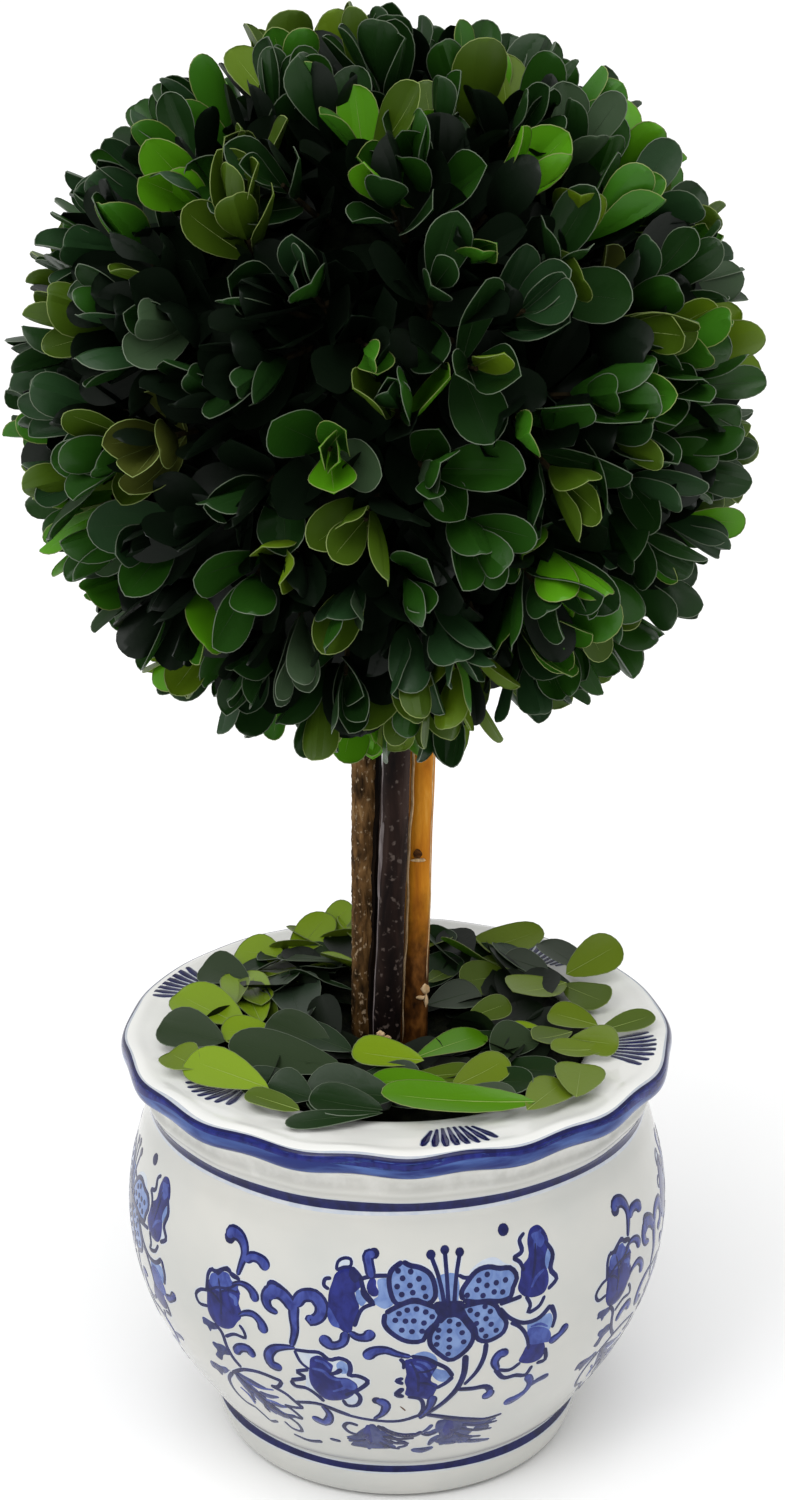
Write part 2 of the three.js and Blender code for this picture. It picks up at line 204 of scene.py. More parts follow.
def value_noise(points, seed):
    """Smooth random numbers: a point mixes the numbers of the eight lattice corners round it."""
    cells = np.floor(points)
    parts = smooth_step(points - cells)
    total = 0
    for corner in np.ndindex(2, 2, 2):
        weights = np.prod(np.where(corner, parts, 1 - parts), axis=-1)
        total = total + weights * lattice_number(cells + np.array(corner), seed)
    return total


def smooth_curve(points, steps, closed=False):
    """A curve through the points. At each it heads the way of its two neighbouring stretches, the
    shorter one counting more, and each stretch is a cubic."""
    points = np.asarray(points, float)
    if closed:
        points = np.concatenate([points, points[:1]])
    gaps = np.diff(points, axis=0)
    lengths = np.linalg.norm(gaps, axis=1)[:, None]
    slopes = gaps / lengths
    inner = (slopes[:-1] * lengths[1:] + slopes[1:] * lengths[:-1]) / (lengths[:-1] + lengths[1:])
    if closed:
        seam = (slopes[-1] * lengths[0] + slopes[0] * lengths[-1]) / (lengths[0] + lengths[-1])
        tangents = np.concatenate([[seam], inner, [seam]])
    else:
        tangents = np.concatenate([slopes[:1], inner, slopes[-1:]])
    share = (np.arange(steps) / steps)[None, :, None]
    start, end = points[:-1, None], points[1:, None]
    leave, arrive = tangents[:-1, None] * lengths[:, None], tangents[1:, None] * lengths[:, None]
    curve = ((2 * share**3 - 3 * share**2 + 1) * start + (share**3 - 2 * share**2 + share) * leave
             + (3 * share**2 - 2 * share**3) * end + (share**3 - share**2) * arrive)
    curve = curve.reshape(-1, points.shape[1])
    return curve if closed else np.concatenate([curve, points[-1:]])


# Meshes from grids of points

def grid_faces(rows, columns, closed_rows=False):
    """Four-sided faces between neighbours of a grid that is stored row by row and closed in its columns."""
    row = np.arange(rows if closed_rows else rows - 1)[:, None]
    column = np.arange(columns)[None, :]
    following = (column + 1) % columns
    here, above = row * columns, ((row + 1) % rows) * columns
    corners = [here + column, here + following, above + following, above + column]
    return np.stack(corners, axis=-1).reshape(-1, 4)


def shells(points):
    """Closed skins from points[copy, row, column]: a closed section carried along a path, with the
    first and the last row drawn together to one point each."""
    copies, rows, columns, _ = points.shape
    inner = points[:, 1:-1].reshape(copies, -1, 3)
    ends = points[:, [0, -1]].mean(axis=2)
    vertices = np.concatenate([inner, ends], axis=1)
    first = (rows - 2) * columns
    column = np.arange(columns)
    following = (column + 1) % columns
    foot = np.stack([np.full(columns, first), following, column], axis=-1)
    last_row = (rows - 3) * columns
    head = np.stack([last_row + column, last_row + following, np.full(columns, first + 1)], axis=-1)
    starts = np.arange(copies)[:, None, None] * vertices.shape[1]
    quads = (grid_faces(rows - 2, columns) + starts).reshape(-1, 4)
    triangles = (np.concatenate([foot, head]) + starts).reshape(-1, 3)
    return vertices.reshape(-1, 3), quads, triangles


def hoop(points):
    """A closed ring from points[row, column]: a closed section carried round a closed path."""
    rows, columns, _ = points.shape
    return points.reshape(-1, 3), grid_faces(rows, columns, closed_rows=True), np.zeros((0, 3), int)


def joined(parts):
    """One set of vertices, quads and triangles from several."""
    starts = np.cumsum([0] + [len(part[0]) for part in parts[:-1]])
    vertices = np.concatenate([part[0] for part in parts])
    quads = np.concatenate([part[1] + start for part, start in zip(parts, starts)])
    triangles = np.concatenate([part[2] + start for part, start in zip(parts, starts)])
    return vertices, quads, triangles


def piece(name, part, material, node, crease=math.radians(50)):
    """A mesh object of the part, smooth except at creases, that rides on the frame and stands for a node."""
    vertices, quads, triangles = part
    mesh = bpy.data.meshes.new(name)
    corners = np.concatenate([quads.ravel(), triangles.ravel()]).astype(np.int32)
    sides = np.concatenate([np.full(len(quads), 4), np.full(len(triangles), 3)])
    starts = np.concatenate([[0], np.cumsum(sides)[:-1]]).astype(np.int32)
    mesh.vertices.add(len(vertices))
    mesh.vertices.foreach_set("co", (vertices * MM).astype(np.float32).ravel())
    mesh.loops.add(len(corners))
    mesh.loops.foreach_set("vertex_index", corners)
    mesh.polygons.add(len(starts))
    mesh.polygons.foreach_set("loop_start", starts)
    mesh.update(calc_edges=True)
    mesh.validate()
    mesh.shade_smooth()
    mesh.set_sharp_from_angle(angle=crease)
    mesh.materials.append(material)
    made = bpy.data.objects.new(name, mesh)
    bpy.context.scene.collection.objects.link(made)
    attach(made, "root")
    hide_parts(node)
    return made


# Materials

def finish(name, color, roughness, **sockets):
    """A material with its plain values on the shader's own sockets."""
    made = bpy.data.materials.new(name)
    made.use_nodes = True
    shader = made.node_tree.nodes["Principled BSDF"]
    shader.inputs["Base Color"].default_value = (*color, 1)
    shader.inputs["Roughness"].default_value = roughness
    for socket, value in sockets.items():
        shader.inputs[socket.replace("_", " ")].default_value = value
    return made


def grain(made, scale, stretch=(1, 1, 1), detail=4.0, distortion=0.0):
    """Noise on Object coordinates. The scale counts grains in a metre, and the stretch divides it."""
    tree = made.node_tree
    place = tree.nodes.new("ShaderNodeTexCoord")
    mapping = tree.nodes.new("ShaderNodeMapping")
    mapping.inputs["Scale"].default_value = [1 / part for part in stretch]
    noise = tree.nodes.new("ShaderNodeTexNoise")
    noise.inputs["Scale"].default_value = scale
    noise.inputs["Detail"].default_value = detail
    noise.inputs["Distortion"].default_value = distortion
    tree.links.new(place.outputs["Object"], mapping.inputs["Vector"])
    tree.links.new(mapping.outputs["Vector"], noise.inputs["Vector"])
    return noise.outputs["Fac"]


def ramp(made, source, stops):
    """Colours by the source's value: each stop is a value and a colour."""
    node = made.node_tree.nodes.new("ShaderNodeValToRGB")
    elements = node.color_ramp.elements
    while len(elements) < len(stops):
        elements.new(0.5)
    for element, (value, color) in zip(elements, stops):
        element.position = value
        element.color = (*color, 1)
    made.node_tree.links.new(source, node.inputs["Fac"])
    return node.outputs["Color"]


def paint_shader(made, socket, source):
    """Links a pattern to one of the shader's sockets."""
    shader = made.node_tree.nodes["Principled BSDF"]
    made.node_tree.links.new(source, shader.inputs[socket])


def relief(made, source, strength, depth):
    """A bump of the given depth in millimetres."""
    tree = made.node_tree
    node = tree.nodes.new("ShaderNodeBump")
    node.inputs["Strength"].default_value = strength
    node.inputs["Distance"].default_value = depth * MM
    tree.links.new(source, node.inputs["Height"])
    tree.links.new(node.outputs["Normal"], tree.nodes["Principled BSDF"].inputs["Normal"])


def blended(made, share, first, second):
    """Two patterned colours, mixed by a patterned share."""
    node = made.node_tree.nodes.new("ShaderNodeMix")
    node.data_type = "RGBA"
    made.node_tree.links.new(share, node.inputs[0])
    made.node_tree.links.new(first, node.inputs[6])
    made.node_tree.links.new(second, node.inputs[7])
    return node.outputs[2]


def height_share(made, low, high):
    """Zero below one height in millimetres and one above the other, with a ragged border between."""
    tree = made.node_tree
    place = tree.nodes.new("ShaderNodeTexCoord")
    parts = tree.nodes.new("ShaderNodeSeparateXYZ")
    tree.links.new(place.outputs["Object"], parts.inputs[0])
    climb = tree.nodes.new("ShaderNodeMapRange")
    climb.clamp = False
    climb.inputs["From Min"].default_value = low * MM
    climb.inputs["From Max"].default_value = high * MM
    climb.inputs["To Min"].default_value = -RAGGED / 2
    climb.inputs["To Max"].default_value = 1 - RAGGED / 2
    tree.links.new(parts.outputs["Z"], climb.inputs["Value"])
    ragged = tree.nodes.new("ShaderNodeMath")
    ragged.operation = "MULTIPLY_ADD"
    ragged.use_clamp = True
    ragged.inputs[1].default_value = RAGGED
    tree.links.new(grain(made, 330), ragged.inputs[0])
    tree.links.new(climb.outputs["Result"], ragged.inputs[2])
    return ragged.outputs[0]


def glaze_finish():
    """White glaze with faint warm and cool clouds and a slow swell that breaks up its highlights. It is
    painted lighter on the flange than on the sides, as painted light that makes up for the crown's shade."""
    made = finish("porcelain_glaze", (0.57, 0.57, 0.54), 0.11)
    clouds = grain(made, 45, detail=3.0)
    sides = ramp(made, clouds, [(0.3, (0.47, 0.475, 0.45)), (0.7, (0.525, 0.52, 0.485))])
    # Painted light: the flange is painted lighter to make up for the shade the crown casts on it
    flange = ramp(made, clouds, [(0.3, (0.78, 0.785, 0.76)), (0.7, (0.83, 0.825, 0.79))])
    paint_shader(made, "Base Color", blended(made, height_share(made, low=90, high=98), sides, flange))
    relief(made, grain(made, 85, detail=2.0), strength=0.25, depth=0.5)
    return made


def cobalt_finish(name, thin, thick, stretch=(1, 1, 1.6)):
    """Brushed pigment under the glaze: thin and thick colour by a streaky grain."""
    made = finish(name, thick, 0.12, Specular_IOR_Level=0.25)
    pooled = grain(made, 420, stretch=stretch, detail=5.0, distortion=0.6)
    paint_shader(made, "Base Color", ramp(made, pooled, [(0.36, thin), (0.62, thick)]))
    return made


def leaf_finish(name, color, roughness):
    """A leaf with a fine leathery grain."""
    made = finish(name, color, roughness, Specular_IOR_Level=0.2)
    relief(made, grain(made, 900, detail=3.0), strength=0.35, depth=0.12)
    return made


def bark_finish(name, stops, roughness, scale, stretch, depth):
    """Bark with streaks of several browns and a rough relief."""
    made = finish(name, stops[0][1], roughness, Specular_IOR_Level=0.08)
    streaks = grain(made, scale, stretch=stretch, detail=8.0, distortion=0.4)
    paint_shader(made, "Base Color", ramp(made, streaks, stops))
    relief(made, grain(made, scale * 2, stretch=stretch, detail=8.0), strength=0.8, depth=depth)
    return made


def rough_finish(made, patches, dark, pale, bumps, strength, depth, details=(4.0, 4.0)):
    """Dark and pale patches and a relief of finer bumps, on a material that has its plain values."""
    colors = ramp(made, grain(made, patches, detail=details[0]), [(0.35, dark), (0.65, pale)])
    paint_shader(made, "Base Color", colors)
    relief(made, grain(made, bumps, detail=details[1]), strength, depth)
    return made


def specked(made, scale, stretch, color):
    """Puts sparse specks of a colour over the colour that the material has."""
    shader = made.node_tree.nodes["Principled BSDF"]
    below = shader.inputs["Base Color"].links[0].from_socket
    spots = grain(made, scale, stretch=stretch, detail=2.0)
    share = ramp(made, spots, [(0.60, (0, 0, 0)), (0.68, (1, 1, 1))])
    pale = ramp(made, grain(made, scale * 3), [(0.3, tuple(part * 0.6 for part in color)), (0.7, color)])
    paint_shader(made, "Base Color", blended(made, share, below, pale))


def darker_foot(made, scale, stretch, stops, low, high):
    """Below a ragged border the material has other colours than above it."""
    shader = made.node_tree.nodes["Principled BSDF"]
    above = shader.inputs["Base Color"].links[0].from_socket
    foot = ramp(made, grain(made, scale, stretch=stretch, detail=8.0), stops)
    paint_shader(made, "Base Color", blended(made, height_share(made, low, high), foot, above))


# Pot

def flange_height(radius):
    """Level at the rim's crest, and dipping by a quarter of a sine towards the mouth."""
    share = np.clip((CREST_RADIUS - radius) / (CREST_RADIUS - MOUTH_RADIUS), 0, 1)
    return POT_HEIGHT - FLANGE_DIP * np.sin(share * math.pi / 2)


def outer_profile():
    """The pot's outline of [radius, height] from the underside's edge, up the side, to the mouth's lip."""
    lip = flange_height(MOUTH_RADIUS)
    return smooth_curve([
        (FOOT_FLAT_RADIUS, 0),
        (FOOT_RADIUS - 2.4, 1.4),
        (FOOT_RADIUS - 0.7, 4.5),
        (FOOT_RADIUS, FOOT_HEIGHT - 1.5),
        (FOOT_RADIUS - 0.5, FOOT_HEIGHT + 1.2),
        (FOOT_RADIUS + 1.1, FOOT_HEIGHT + 3.0),
        (48, 17.9),
        (54.8, 28.8),
        (60.4, 41.6),
        (BELLY_RADIUS, BELLY_HEIGHT),
        (62, 68),
        (59.6, 77.5),
        (NECK_RADIUS, NECK_HEIGHT),
        (NECK_RADIUS + 0.6, NECK_HEIGHT + 2.0),
        (NECK_RADIUS + 1.5, NECK_HEIGHT + 3.8),
        (NECK_RADIUS + 0.9, NECK_HEIGHT + 5.6),
        (NECK_RADIUS + 1.3, BAND_FOOT - 2.0),
        (RIM_RADIUS - 2.3, BAND_FOOT - 0.6),
        (RIM_RADIUS - 0.4, BAND_FOOT + 0.9),
        (RIM_RADIUS, BAND_FOOT + 2.6),
        (RIM_RADIUS - 0.5, POT_HEIGHT - 0.9),
        (CREST_RADIUS, POT_HEIGHT),
        (57.5, flange_height(57.5)),
        (SCALLOP_FADE_RADIUS, flange_height(SCALLOP_FADE_RADIUS)),
        (49.5, flange_height(49.5)),
        (MOUTH_RADIUS + 1.4, lip),
        (MOUTH_RADIUS + 0.1, lip - 1.2),
        (MOUTH_RADIUS + 0.4, lip - 6.0),
    ], 7)


PROFILE = outer_profile()
NECK_INDEX = int(np.argmax(PROFILE[:, 1] >= BAND_FOOT - 1))
CREST_INDEX = int(np.argmax(PROFILE[:, 1]))
# The last point of the flange, before the outline turns down into the mouth
LIP_INDEX = len(PROFILE) - 13
# The inside wall and floor, as radius and height
INSIDE = [(56, 78), (58.5, 57), (54.3, 36), (45.5, 20), (35, 6), (0, 6)]


def profile_normals():
    """Outward directions of the outline: its own direction turned by a right angle."""
    direction = unit(np.gradient(PROFILE, axis=0))
    return np.stack([direction[:, 1], -direction[:, 0]], axis=1)


NORMALS = profile_normals()


def scalloped(radius, height, angle):
    """Points in space. A cosine wave round the pot pushes the rim out and down at each tip. It fades
    out across the flange and down the neck."""
    across_flange = (radius - SCALLOP_FADE_RADIUS) / (CREST_RADIUS - SCALLOP_FADE_RADIUS)
    up_neck = (height - NECK_HEIGHT) / (BAND_FOOT - NECK_HEIGHT)
    share = np.clip(np.minimum(across_flange, up_neck), 0, 1)
    wave = np.cos(SCALLOPS * (angle - SCALLOP_PHASE))
    return polar(radius + SCALLOP_DEPTH * wave * share, angle, height - SCALLOP_DROP * (wave + 1) * share)


def on_outline(place, angle, proud):
    """A point at a place along the outline, counted in its points, standing proud by so much."""
    steps = np.arange(len(PROFILE))
    radius, height, out, rise = (np.interp(place, steps, values) for values in (*PROFILE.T, *NORMALS.T))
    return scalloped(radius + out * proud, height + rise * proud, angle)


def on_side(x, height, proud):
    """A point of the painted side. x is measured round the belly, and the height from the table."""
    place = np.interp(height, PROFILE[:NECK_INDEX, 1], np.arange(NECK_INDEX))
    return on_outline(place, x / BELLY_RADIUS, proud)


def on_flange(radius, angle, proud):
    """A point of the painted flange."""
    place = np.interp(-radius, -PROFILE[CREST_INDEX:LIP_INDEX + 1, 0], np.arange(CREST_INDEX, LIP_INDEX + 1))
    return on_outline(place, angle, proud)


def make_pot():
    """The outline carried round the axis, and closed inside by a plain wall and floor."""
    rows = np.concatenate([[(0, 0), (FOOT_FLAT_RADIUS - 1.5, 0)], PROFILE, INSIDE])
    points = scalloped(rows[:, :1], rows[:, 1:], circle(POT_COLUMNS)[None, :])
    return piece("pot_glaze", shells(points[None]), glaze_finish(), "pot")


# Painting: strokes and filled shapes that lie in the glaze, in the frame of one spray. x is measured
# round the belly from the front, y is the height. Each drawing function gives a list of tones and parts.

# How far each tone stands out of the glaze, so that one lies over another
PROUD = {"halo": 0.015, "pale": 0.025, "wash": 0.035, "slate": 0.045, "deep": 0.055, "band": 0.055,
         "blue": 0.07, "line": 0.085, "spot": 0.085, "core": 0.1, "fleck": 0.03}
# Where the edge and the back of every stroke lie
SUNK = -0.04
BURIED = -0.14
# The dark tones have a pale halo, which is wider than the stroke by so much
DARK_TONES = ("line", "deep", "slate")
HALO_SPILL = 0.8
# How much narrower the light core of a scroll is
SCROLL_EDGES = 1.1
PETAL_LINE = 1.4
SPOT_WIDTH = 1.35
CURVE_STEPS = 12
RING_ROWS = 400


def lay_on_side(x, height, proud):
    """A motif's points on the side, once for each of the sprays that go round the pot."""
    offsets = np.arange(SPRAYS) * TURN * BELLY_RADIUS / SPRAYS
    return on_side(x[None] + offsets[:, None, None], height[None], proud)


def lay_once(x, height, proud):
    """A motif's points on the side, only in front."""
    return on_side(x[None], height[None], proud)


def lay_on_flange(aside, outward, proud):
    """A fan's points on the flange, once for each fan. The fan's own frame has x across and y outwards."""
    place, middle = np.array(FANS).T[..., None, None]
    radius = middle + outward
    return on_flange(np.hypot(aside, radius), np.radians(place) - np.arctan2(aside, radius), proud)


def stroke_route(points, widths):
    """The middle line of a brush stroke and its half-width: the given widths are spread evenly along it,
    and both ends are rounded off."""
    route = smooth_curve(points, CURVE_STEPS)
    travelled = np.concatenate([[0], np.cumsum(np.linalg.norm(np.diff(route, axis=0), axis=1))])
    length = travelled[-1]
    rows = 8 + 3 * len(points)
    eased = (1 - np.cos(np.linspace(0, math.pi, rows))) / 2 * length
    route = np.stack([np.interp(eased, travelled, values) for values in route.T], axis=1)
    half = np.interp(eased / length, np.linspace(0, 1, len(widths)), widths) / 2
    rounding = [np.sqrt(np.clip(1 - (1 - 2 * gap / end) ** 2, 0, 1)) * (gap < end / 2) + (gap >= end / 2)
                for gap, end in ((eased, widths[0]), (length - eased, widths[-1]))]
    return route, half * np.minimum(*rounding)


def ribbon(route, half, across, proud, lay):
    """A flat closed ribbon: the route shifted sideways by the half-width times each place across."""
    direction = unit(np.gradient(route, axis=0))
    offset = half[:, None] * np.array(across)
    x = route[:, :1] + direction[:, 1:] * offset
    height = route[:, 1:] - direction[:, :1] * offset
    return shells(lay(x, height, np.array(proud)))


def stroke(tone, points, widths, lay=lay_on_side):
    """A brush stroke, over a pale halo where it is dark."""
    route, half = stroke_route(points, widths)
    top, halo = PROUD[tone], PROUD["halo"]
    section = (-1, -0.7, 0, 0.7, 1, 0)
    made = [(tone, ribbon(route, half, section, (SUNK, top, top, top, SUNK, BURIED), lay))]
    if tone in DARK_TONES:
        spill = half + HALO_SPILL / 2 * (half > 0)
        section = (-1, -0.7, 0.7, 1, 0)
        made.append(("halo", ribbon(route, spill, section, (SUNK, halo, halo, SUNK, BURIED), lay)))
    return made


def scroll(points, widths, tone="line"):
    """A broad stroke whose pigment pooled at its edges: a dark stroke with a lighter one on top."""
    inner = [max(width - SCROLL_EDGES, 0.05) for width in widths]
    return stroke(tone, points, widths) + stroke("core", points, inner)


def strokes(tone, rows):
    """Brush strokes of one tone, from rows of points and widths."""
    return [stroke(tone, points, widths) for points, widths in rows]


def filled(tone, outline, steps=4):
    """A filled shape as a flat closed disc: rings between its middle and its smooth outline."""
    edge = smooth_curve(outline, steps, closed=True)
    area = np.sum(edge[:, 0] * np.roll(edge[:, 1], -1) - edge[:, 1] * np.roll(edge[:, 0], -1))
    edge = edge[::-1] if area > 0 else edge
    middle = edge.mean(axis=0)
    shares = np.array([0, 0.3, 0.6, 0.85, 0.96, 1, 0.5, 0])[:, None]
    proud = np.array([*[PROUD[tone]] * 5, SUNK, BURIED, BURIED])[:, None]
    x = middle[0] + shares * (edge[:, 0] - middle[0])
    height = middle[1] + shares * (edge[:, 1] - middle[1])
    return [(tone, shells(lay_on_side(x, height, proud)))]


def dot(x, height, width):
    """A round spot, from a six-sided outline made smooth."""
    corners = circle(6)
    outline = np.stack([x + width / 2 * np.cos(corners), height + width / 2 * np.sin(corners)], axis=1)
    return filled("spot", outline, steps=2)


def outlined(tone, outline, width):
    """A filled shape with a line round it."""
    return filled(tone, outline) + stroke("line", [*outline, outline[0]], (width, width, width))


def flower_petals():
    """Five petals of pale blue round the throat, each in a dark outline."""
    petals = [
        [(1.2, 74), (2.6, 73.2), (5, 72.6), (7.2, 71.2), (8.2, 68.8), (8, 65.4), (7, 64.6), (3.8, 65.6),
         (0, 64.6), (-1.6, 68), (-1.4, 71.8)],
        [(-2.6, 62.4), (-0.4, 63.8), (3.8, 65.2), (6.4, 64.4), (9.4, 62.4), (8.6, 60), (6.6, 58),
         (5.8, 55.8), (2.8, 55.4), (-0.4, 57), (-2.8, 60)],
        [(9, 59.8), (11.4, 61.6), (13.8, 60.8), (15.4, 58.6), (16.8, 56), (16.2, 53.4), (14.6, 51.4),
         (11.8, 49.8), (9.4, 51.6), (7.2, 54.6), (7.2, 57)],
        [(14, 63), (16.6, 63.4), (19.6, 63.4), (22, 62), (22.8, 60.2), (24.4, 57.4), (23.6, 55),
         (21.8, 54), (19.6, 53.6), (17.8, 54.6), (17, 57.6), (15, 60.6)],
        [(14.4, 64.6), (14.2, 66.4), (15.6, 68.6), (18, 70.8), (20.6, 71.2), (23.2, 70.4), (25.8, 70),
         (27.2, 67.8), (26, 65.2), (25.6, 63.6), (23.4, 63), (20, 63.6), (17.2, 63.8)],
    ]
    return [outlined("wash", petal, PETAL_LINE) for petal in petals]


def flower_spots():
    """Rows of dark spots on the petals."""
    spots = [
        (0.2, 72), (3, 71.8), (1.2, 70.4), (4.8, 70.2), (0, 68.6), (2.8, 68.8), (5.8, 68.2), (3.4, 67.2),
        (1, 66.8), (6.2, 66.2), (0.4, 62.4), (2.2, 63.2), (4.2, 63.4), (6.2, 62.6), (7.6, 61.4),
        (-0.4, 60.8), (1.8, 60.6), (3.6, 60.6), (5.8, 60), (1, 58.4), (3.2, 58), (5.4, 58), (11.4, 60),
        (13.4, 59), (8.8, 56.2), (11.4, 57.6), (14.2, 56.8), (11.4, 55.4), (8.6, 54.4), (14.6, 54.4),
        (11.4, 53.4), (11.2, 51.6), (9, 58), (16, 62), (19.4, 62.4), (20.6, 61), (17.6, 60.8),
        (19.6, 59.4), (20.8, 57.8), (18.6, 56.8), (22, 56), (19.6, 55), (17.4, 58.6), (20.2, 69.6),
        (18.2, 68.6), (24.4, 67.6), (22.2, 67.4), (20, 67.2), (17.6, 66.6), (15.4, 65.6), (21.6, 65.4),
        (23.6, 65), (19, 65),
    ]
    return [dot(x, height, SPOT_WIDTH) for x, height in spots]


def flower_throat():
    """Three stamens with round heads over a wash, a small scroll at the left and a smear at the right."""
    return [
        filled("wash", [(8.2, 70), (10.2, 71), (13.2, 70.6), (13.8, 68.6), (13.6, 65.8), (13, 63.2),
            (10, 63.4), (8.8, 66.2)]),
        filled("wash", [(-4.2, 70.2), (-2, 70.4), (-1.6, 67.8), (-0.6, 64.8), (-2.6, 63.4), (-4.2, 64),
            (-5.4, 65.2), (-4.2, 66.4)]),
        filled("line", [(8, 64.6), (11, 64.8), (14.8, 64), (14.4, 61.6), (10.8, 60.8), (8.6, 61.8)]),
        stroke("line", [(7.6, 75), (9, 71), (9.8, 67.4), (10.4, 63.2)], (1.17, 1.12, 1.27)),
        stroke("line", [(10.8, 75.8), (11, 70.4), (11.2, 63.2)], (1.17, 1.12, 1.27)),
        stroke("line", [(14.2, 75), (13.2, 70.6), (12.4, 63)], (1.17, 1.12, 1.27)),
        dot(7.6, 75.2, 2.25),
        dot(10.8, 76, 2.15),
        dot(14.2, 75.2, 2.15),
        stroke("line", [(13.6, 70.4), (15, 69.6), (16.6, 69.6)], (0.97, 1.07, 0.97)),
        stroke("line", [(-8.6, 69.8), (-6.2, 70.6), (-1.8, 71)], (1.07, 1.17, 1.07)),
        scroll([(-5, 75.4), (-6.4, 75.2), (-6.2, 72.8), (-5.6, 70.4)], (3.7, 2.8, 2.9)),
        dot(-5.2, 75.6, 2.55),
        stroke("deep", [(-5.2, 70.4), (-5.6, 68.2), (-4.4, 66.4)], (1.7, 2.7, 2.7)),
        stroke("line", [(-7.4, 69), (-7.6, 67), (-6.2, 65.2), (-4.8, 64.2)], (0.97, 1.07, 1.07)),
        filled("pale", [(16, 70.6), (19.2, 72.8), (22.4, 73), (24.8, 71.2), (27.6, 69.8), (25.8, 70.2),
            (20.6, 71.4), (18, 71)]),
        dot(25, 78.4, 2.85),
    ]


def left_bud():
    """The bud at the left end, with the forked scroll above it, curled leaves and small dark ones."""
    return [
        scroll([(-40.6, 72.8), (-40.6, 74), (-38.2, 74.2), (-36.6, 72.8), (-36, 70.8), (-36.6, 68.2),
            (-37.4, 65.4)], (4.5, 2.8, 1.44)),
        dot(-40.6, 73.2, 3.25),
        scroll([(-35.8, 69.2), (-34, 70.6), (-31.2, 70.2), (-29.8, 68.6)], (3, 2.8, 4.1)),
        outlined("pale", [(-45.6, 58.8), (-46, 61.6), (-44.4, 64.6), (-43, 63.8), (-41.2, 65.6),
            (-39.4, 65.4), (-36.8, 64.6), (-39.2, 61.8), (-43.4, 60.4)], 0.88),
        filled("deep", [(-46, 60.5), (-46.2, 57.6), (-46, 52.6), (-44.4, 50.6), (-42.1, 50.2),
            (-38.8, 51.6), (-37.4, 53.6), (-36.2, 55.2), (-36, 56.6), (-36.8, 58.8), (-36.5, 60.8),
            (-37.6, 62.2), (-40, 61.4), (-41.4, 62.2), (-43.4, 63.8), (-45, 62.6)]),
        filled("blue", [(-45.4, 61), (-44.8, 63.4), (-43.4, 64), (-41.4, 65), (-39.8, 65), (-38.8, 63.6),
            (-37, 63.2), (-37.2, 61.8), (-40, 61), (-42.4, 59.6)]),
        stroke("line", [(-42.6, 63), (-41.8, 59), (-42, 54)], (0.5, 1, 0.6)),
        stroke("line", [(-41.8, 60), (-39.4, 61.2), (-37, 61.4)], (0.6, 0.9, 0.5)),
        stroke("line", [(-42, 57), (-44, 58.6), (-45.6, 59)], (0.6, 0.9, 0.5)),
        stroke("slate", [(-48.4, 50.6), (-46.4, 49.6), (-43.4, 50.2)], (2, 2.8, 1.6)),
        stroke("slate", [(-46.6, 44.4), (-44.6, 43.6), (-41.6, 43.8)], (2, 3, 1.6)),
        stroke("slate", [(-50, 36.4), (-47.4, 35.8), (-44, 37.4)], (2, 3, 1.6)),
        stroke("blue", [(-39.6, 60.2), (-37.8, 59.6), (-37.6, 57.8)], (1.1, 1.7, 1.1)),
        stroke("line", [(-46.2, 58.5), (-46, 61), (-45.8, 62.8), (-44.8, 64.3), (-43.6, 64.2),
            (-41.6, 65.4), (-40, 66.1), (-39, 64.9), (-36.6, 64.6)], (1.05, 1.25, 1.05)),
        stroke("deep", [(-41.8, 63.6), (-41.6, 61), (-42.4, 57.6)], (0.9, 1.2, 1.7)),
        stroke("deep", [(-40.4, 61.8), (-37.8, 62.4), (-36.6, 60.8)], (0.9, 1.1, 1)),
        stroke("line", [(-45.8, 58.8), (-48.2, 58), (-49.8, 56), (-49, 54.4),
            (-46, 54.6)], (1.02, 1.07, 1.02)),
        scroll([(-38.8, 62.8), (-36.2, 63.8), (-34.2, 63.4), (-32.8, 62),
            (-32.6, 60.4)], (1.2, 1.6, 2.5, 3.6)),
        scroll([(-37, 55.6), (-35.2, 56.8), (-33.2, 57.2), (-31.2, 55.8),
            (-30.4, 53)], (1.2, 2.1, 2.6, 4)),
        stroke("line", [(-37, 53.2), (-36, 52), (-35.6, 50.2), (-38.6, 50),
            (-41.6, 48.2)], (1.07, 1.02, 1.07)),
        stroke("line", [(-44.4, 50.8), (-42.6, 49), (-41.8, 45.4), (-40.6, 42.4),
            (-38.8, 40.2)], (1.3, 1.25, 1.4)),
        filled("slate", [(-43.6, 50.6), (-45.6, 50.8), (-48, 50.8), (-48.4, 49), (-47.2, 48.8),
            (-46.4, 47.6), (-45.2, 49.4)]),
        filled("slate", [(-41, 43.2), (-42.2, 45), (-44.6, 45), (-46.4, 43.8), (-45.6, 42.6),
            (-46.8, 40.4), (-45.2, 39.6), (-43.6, 42)]),
        filled("slate", [(-43.2, 37.2), (-46.2, 37.2), (-50.6, 36.8), (-50.8, 34.8), (-49.2, 34.6),
            (-48.2, 33.4), (-45.8, 36.4)]),
        scroll([(-39.6, 44.2), (-37.6, 46.6), (-35.2, 47), (-34.2, 45)], (2.9, 3, 3.3)),
    ]


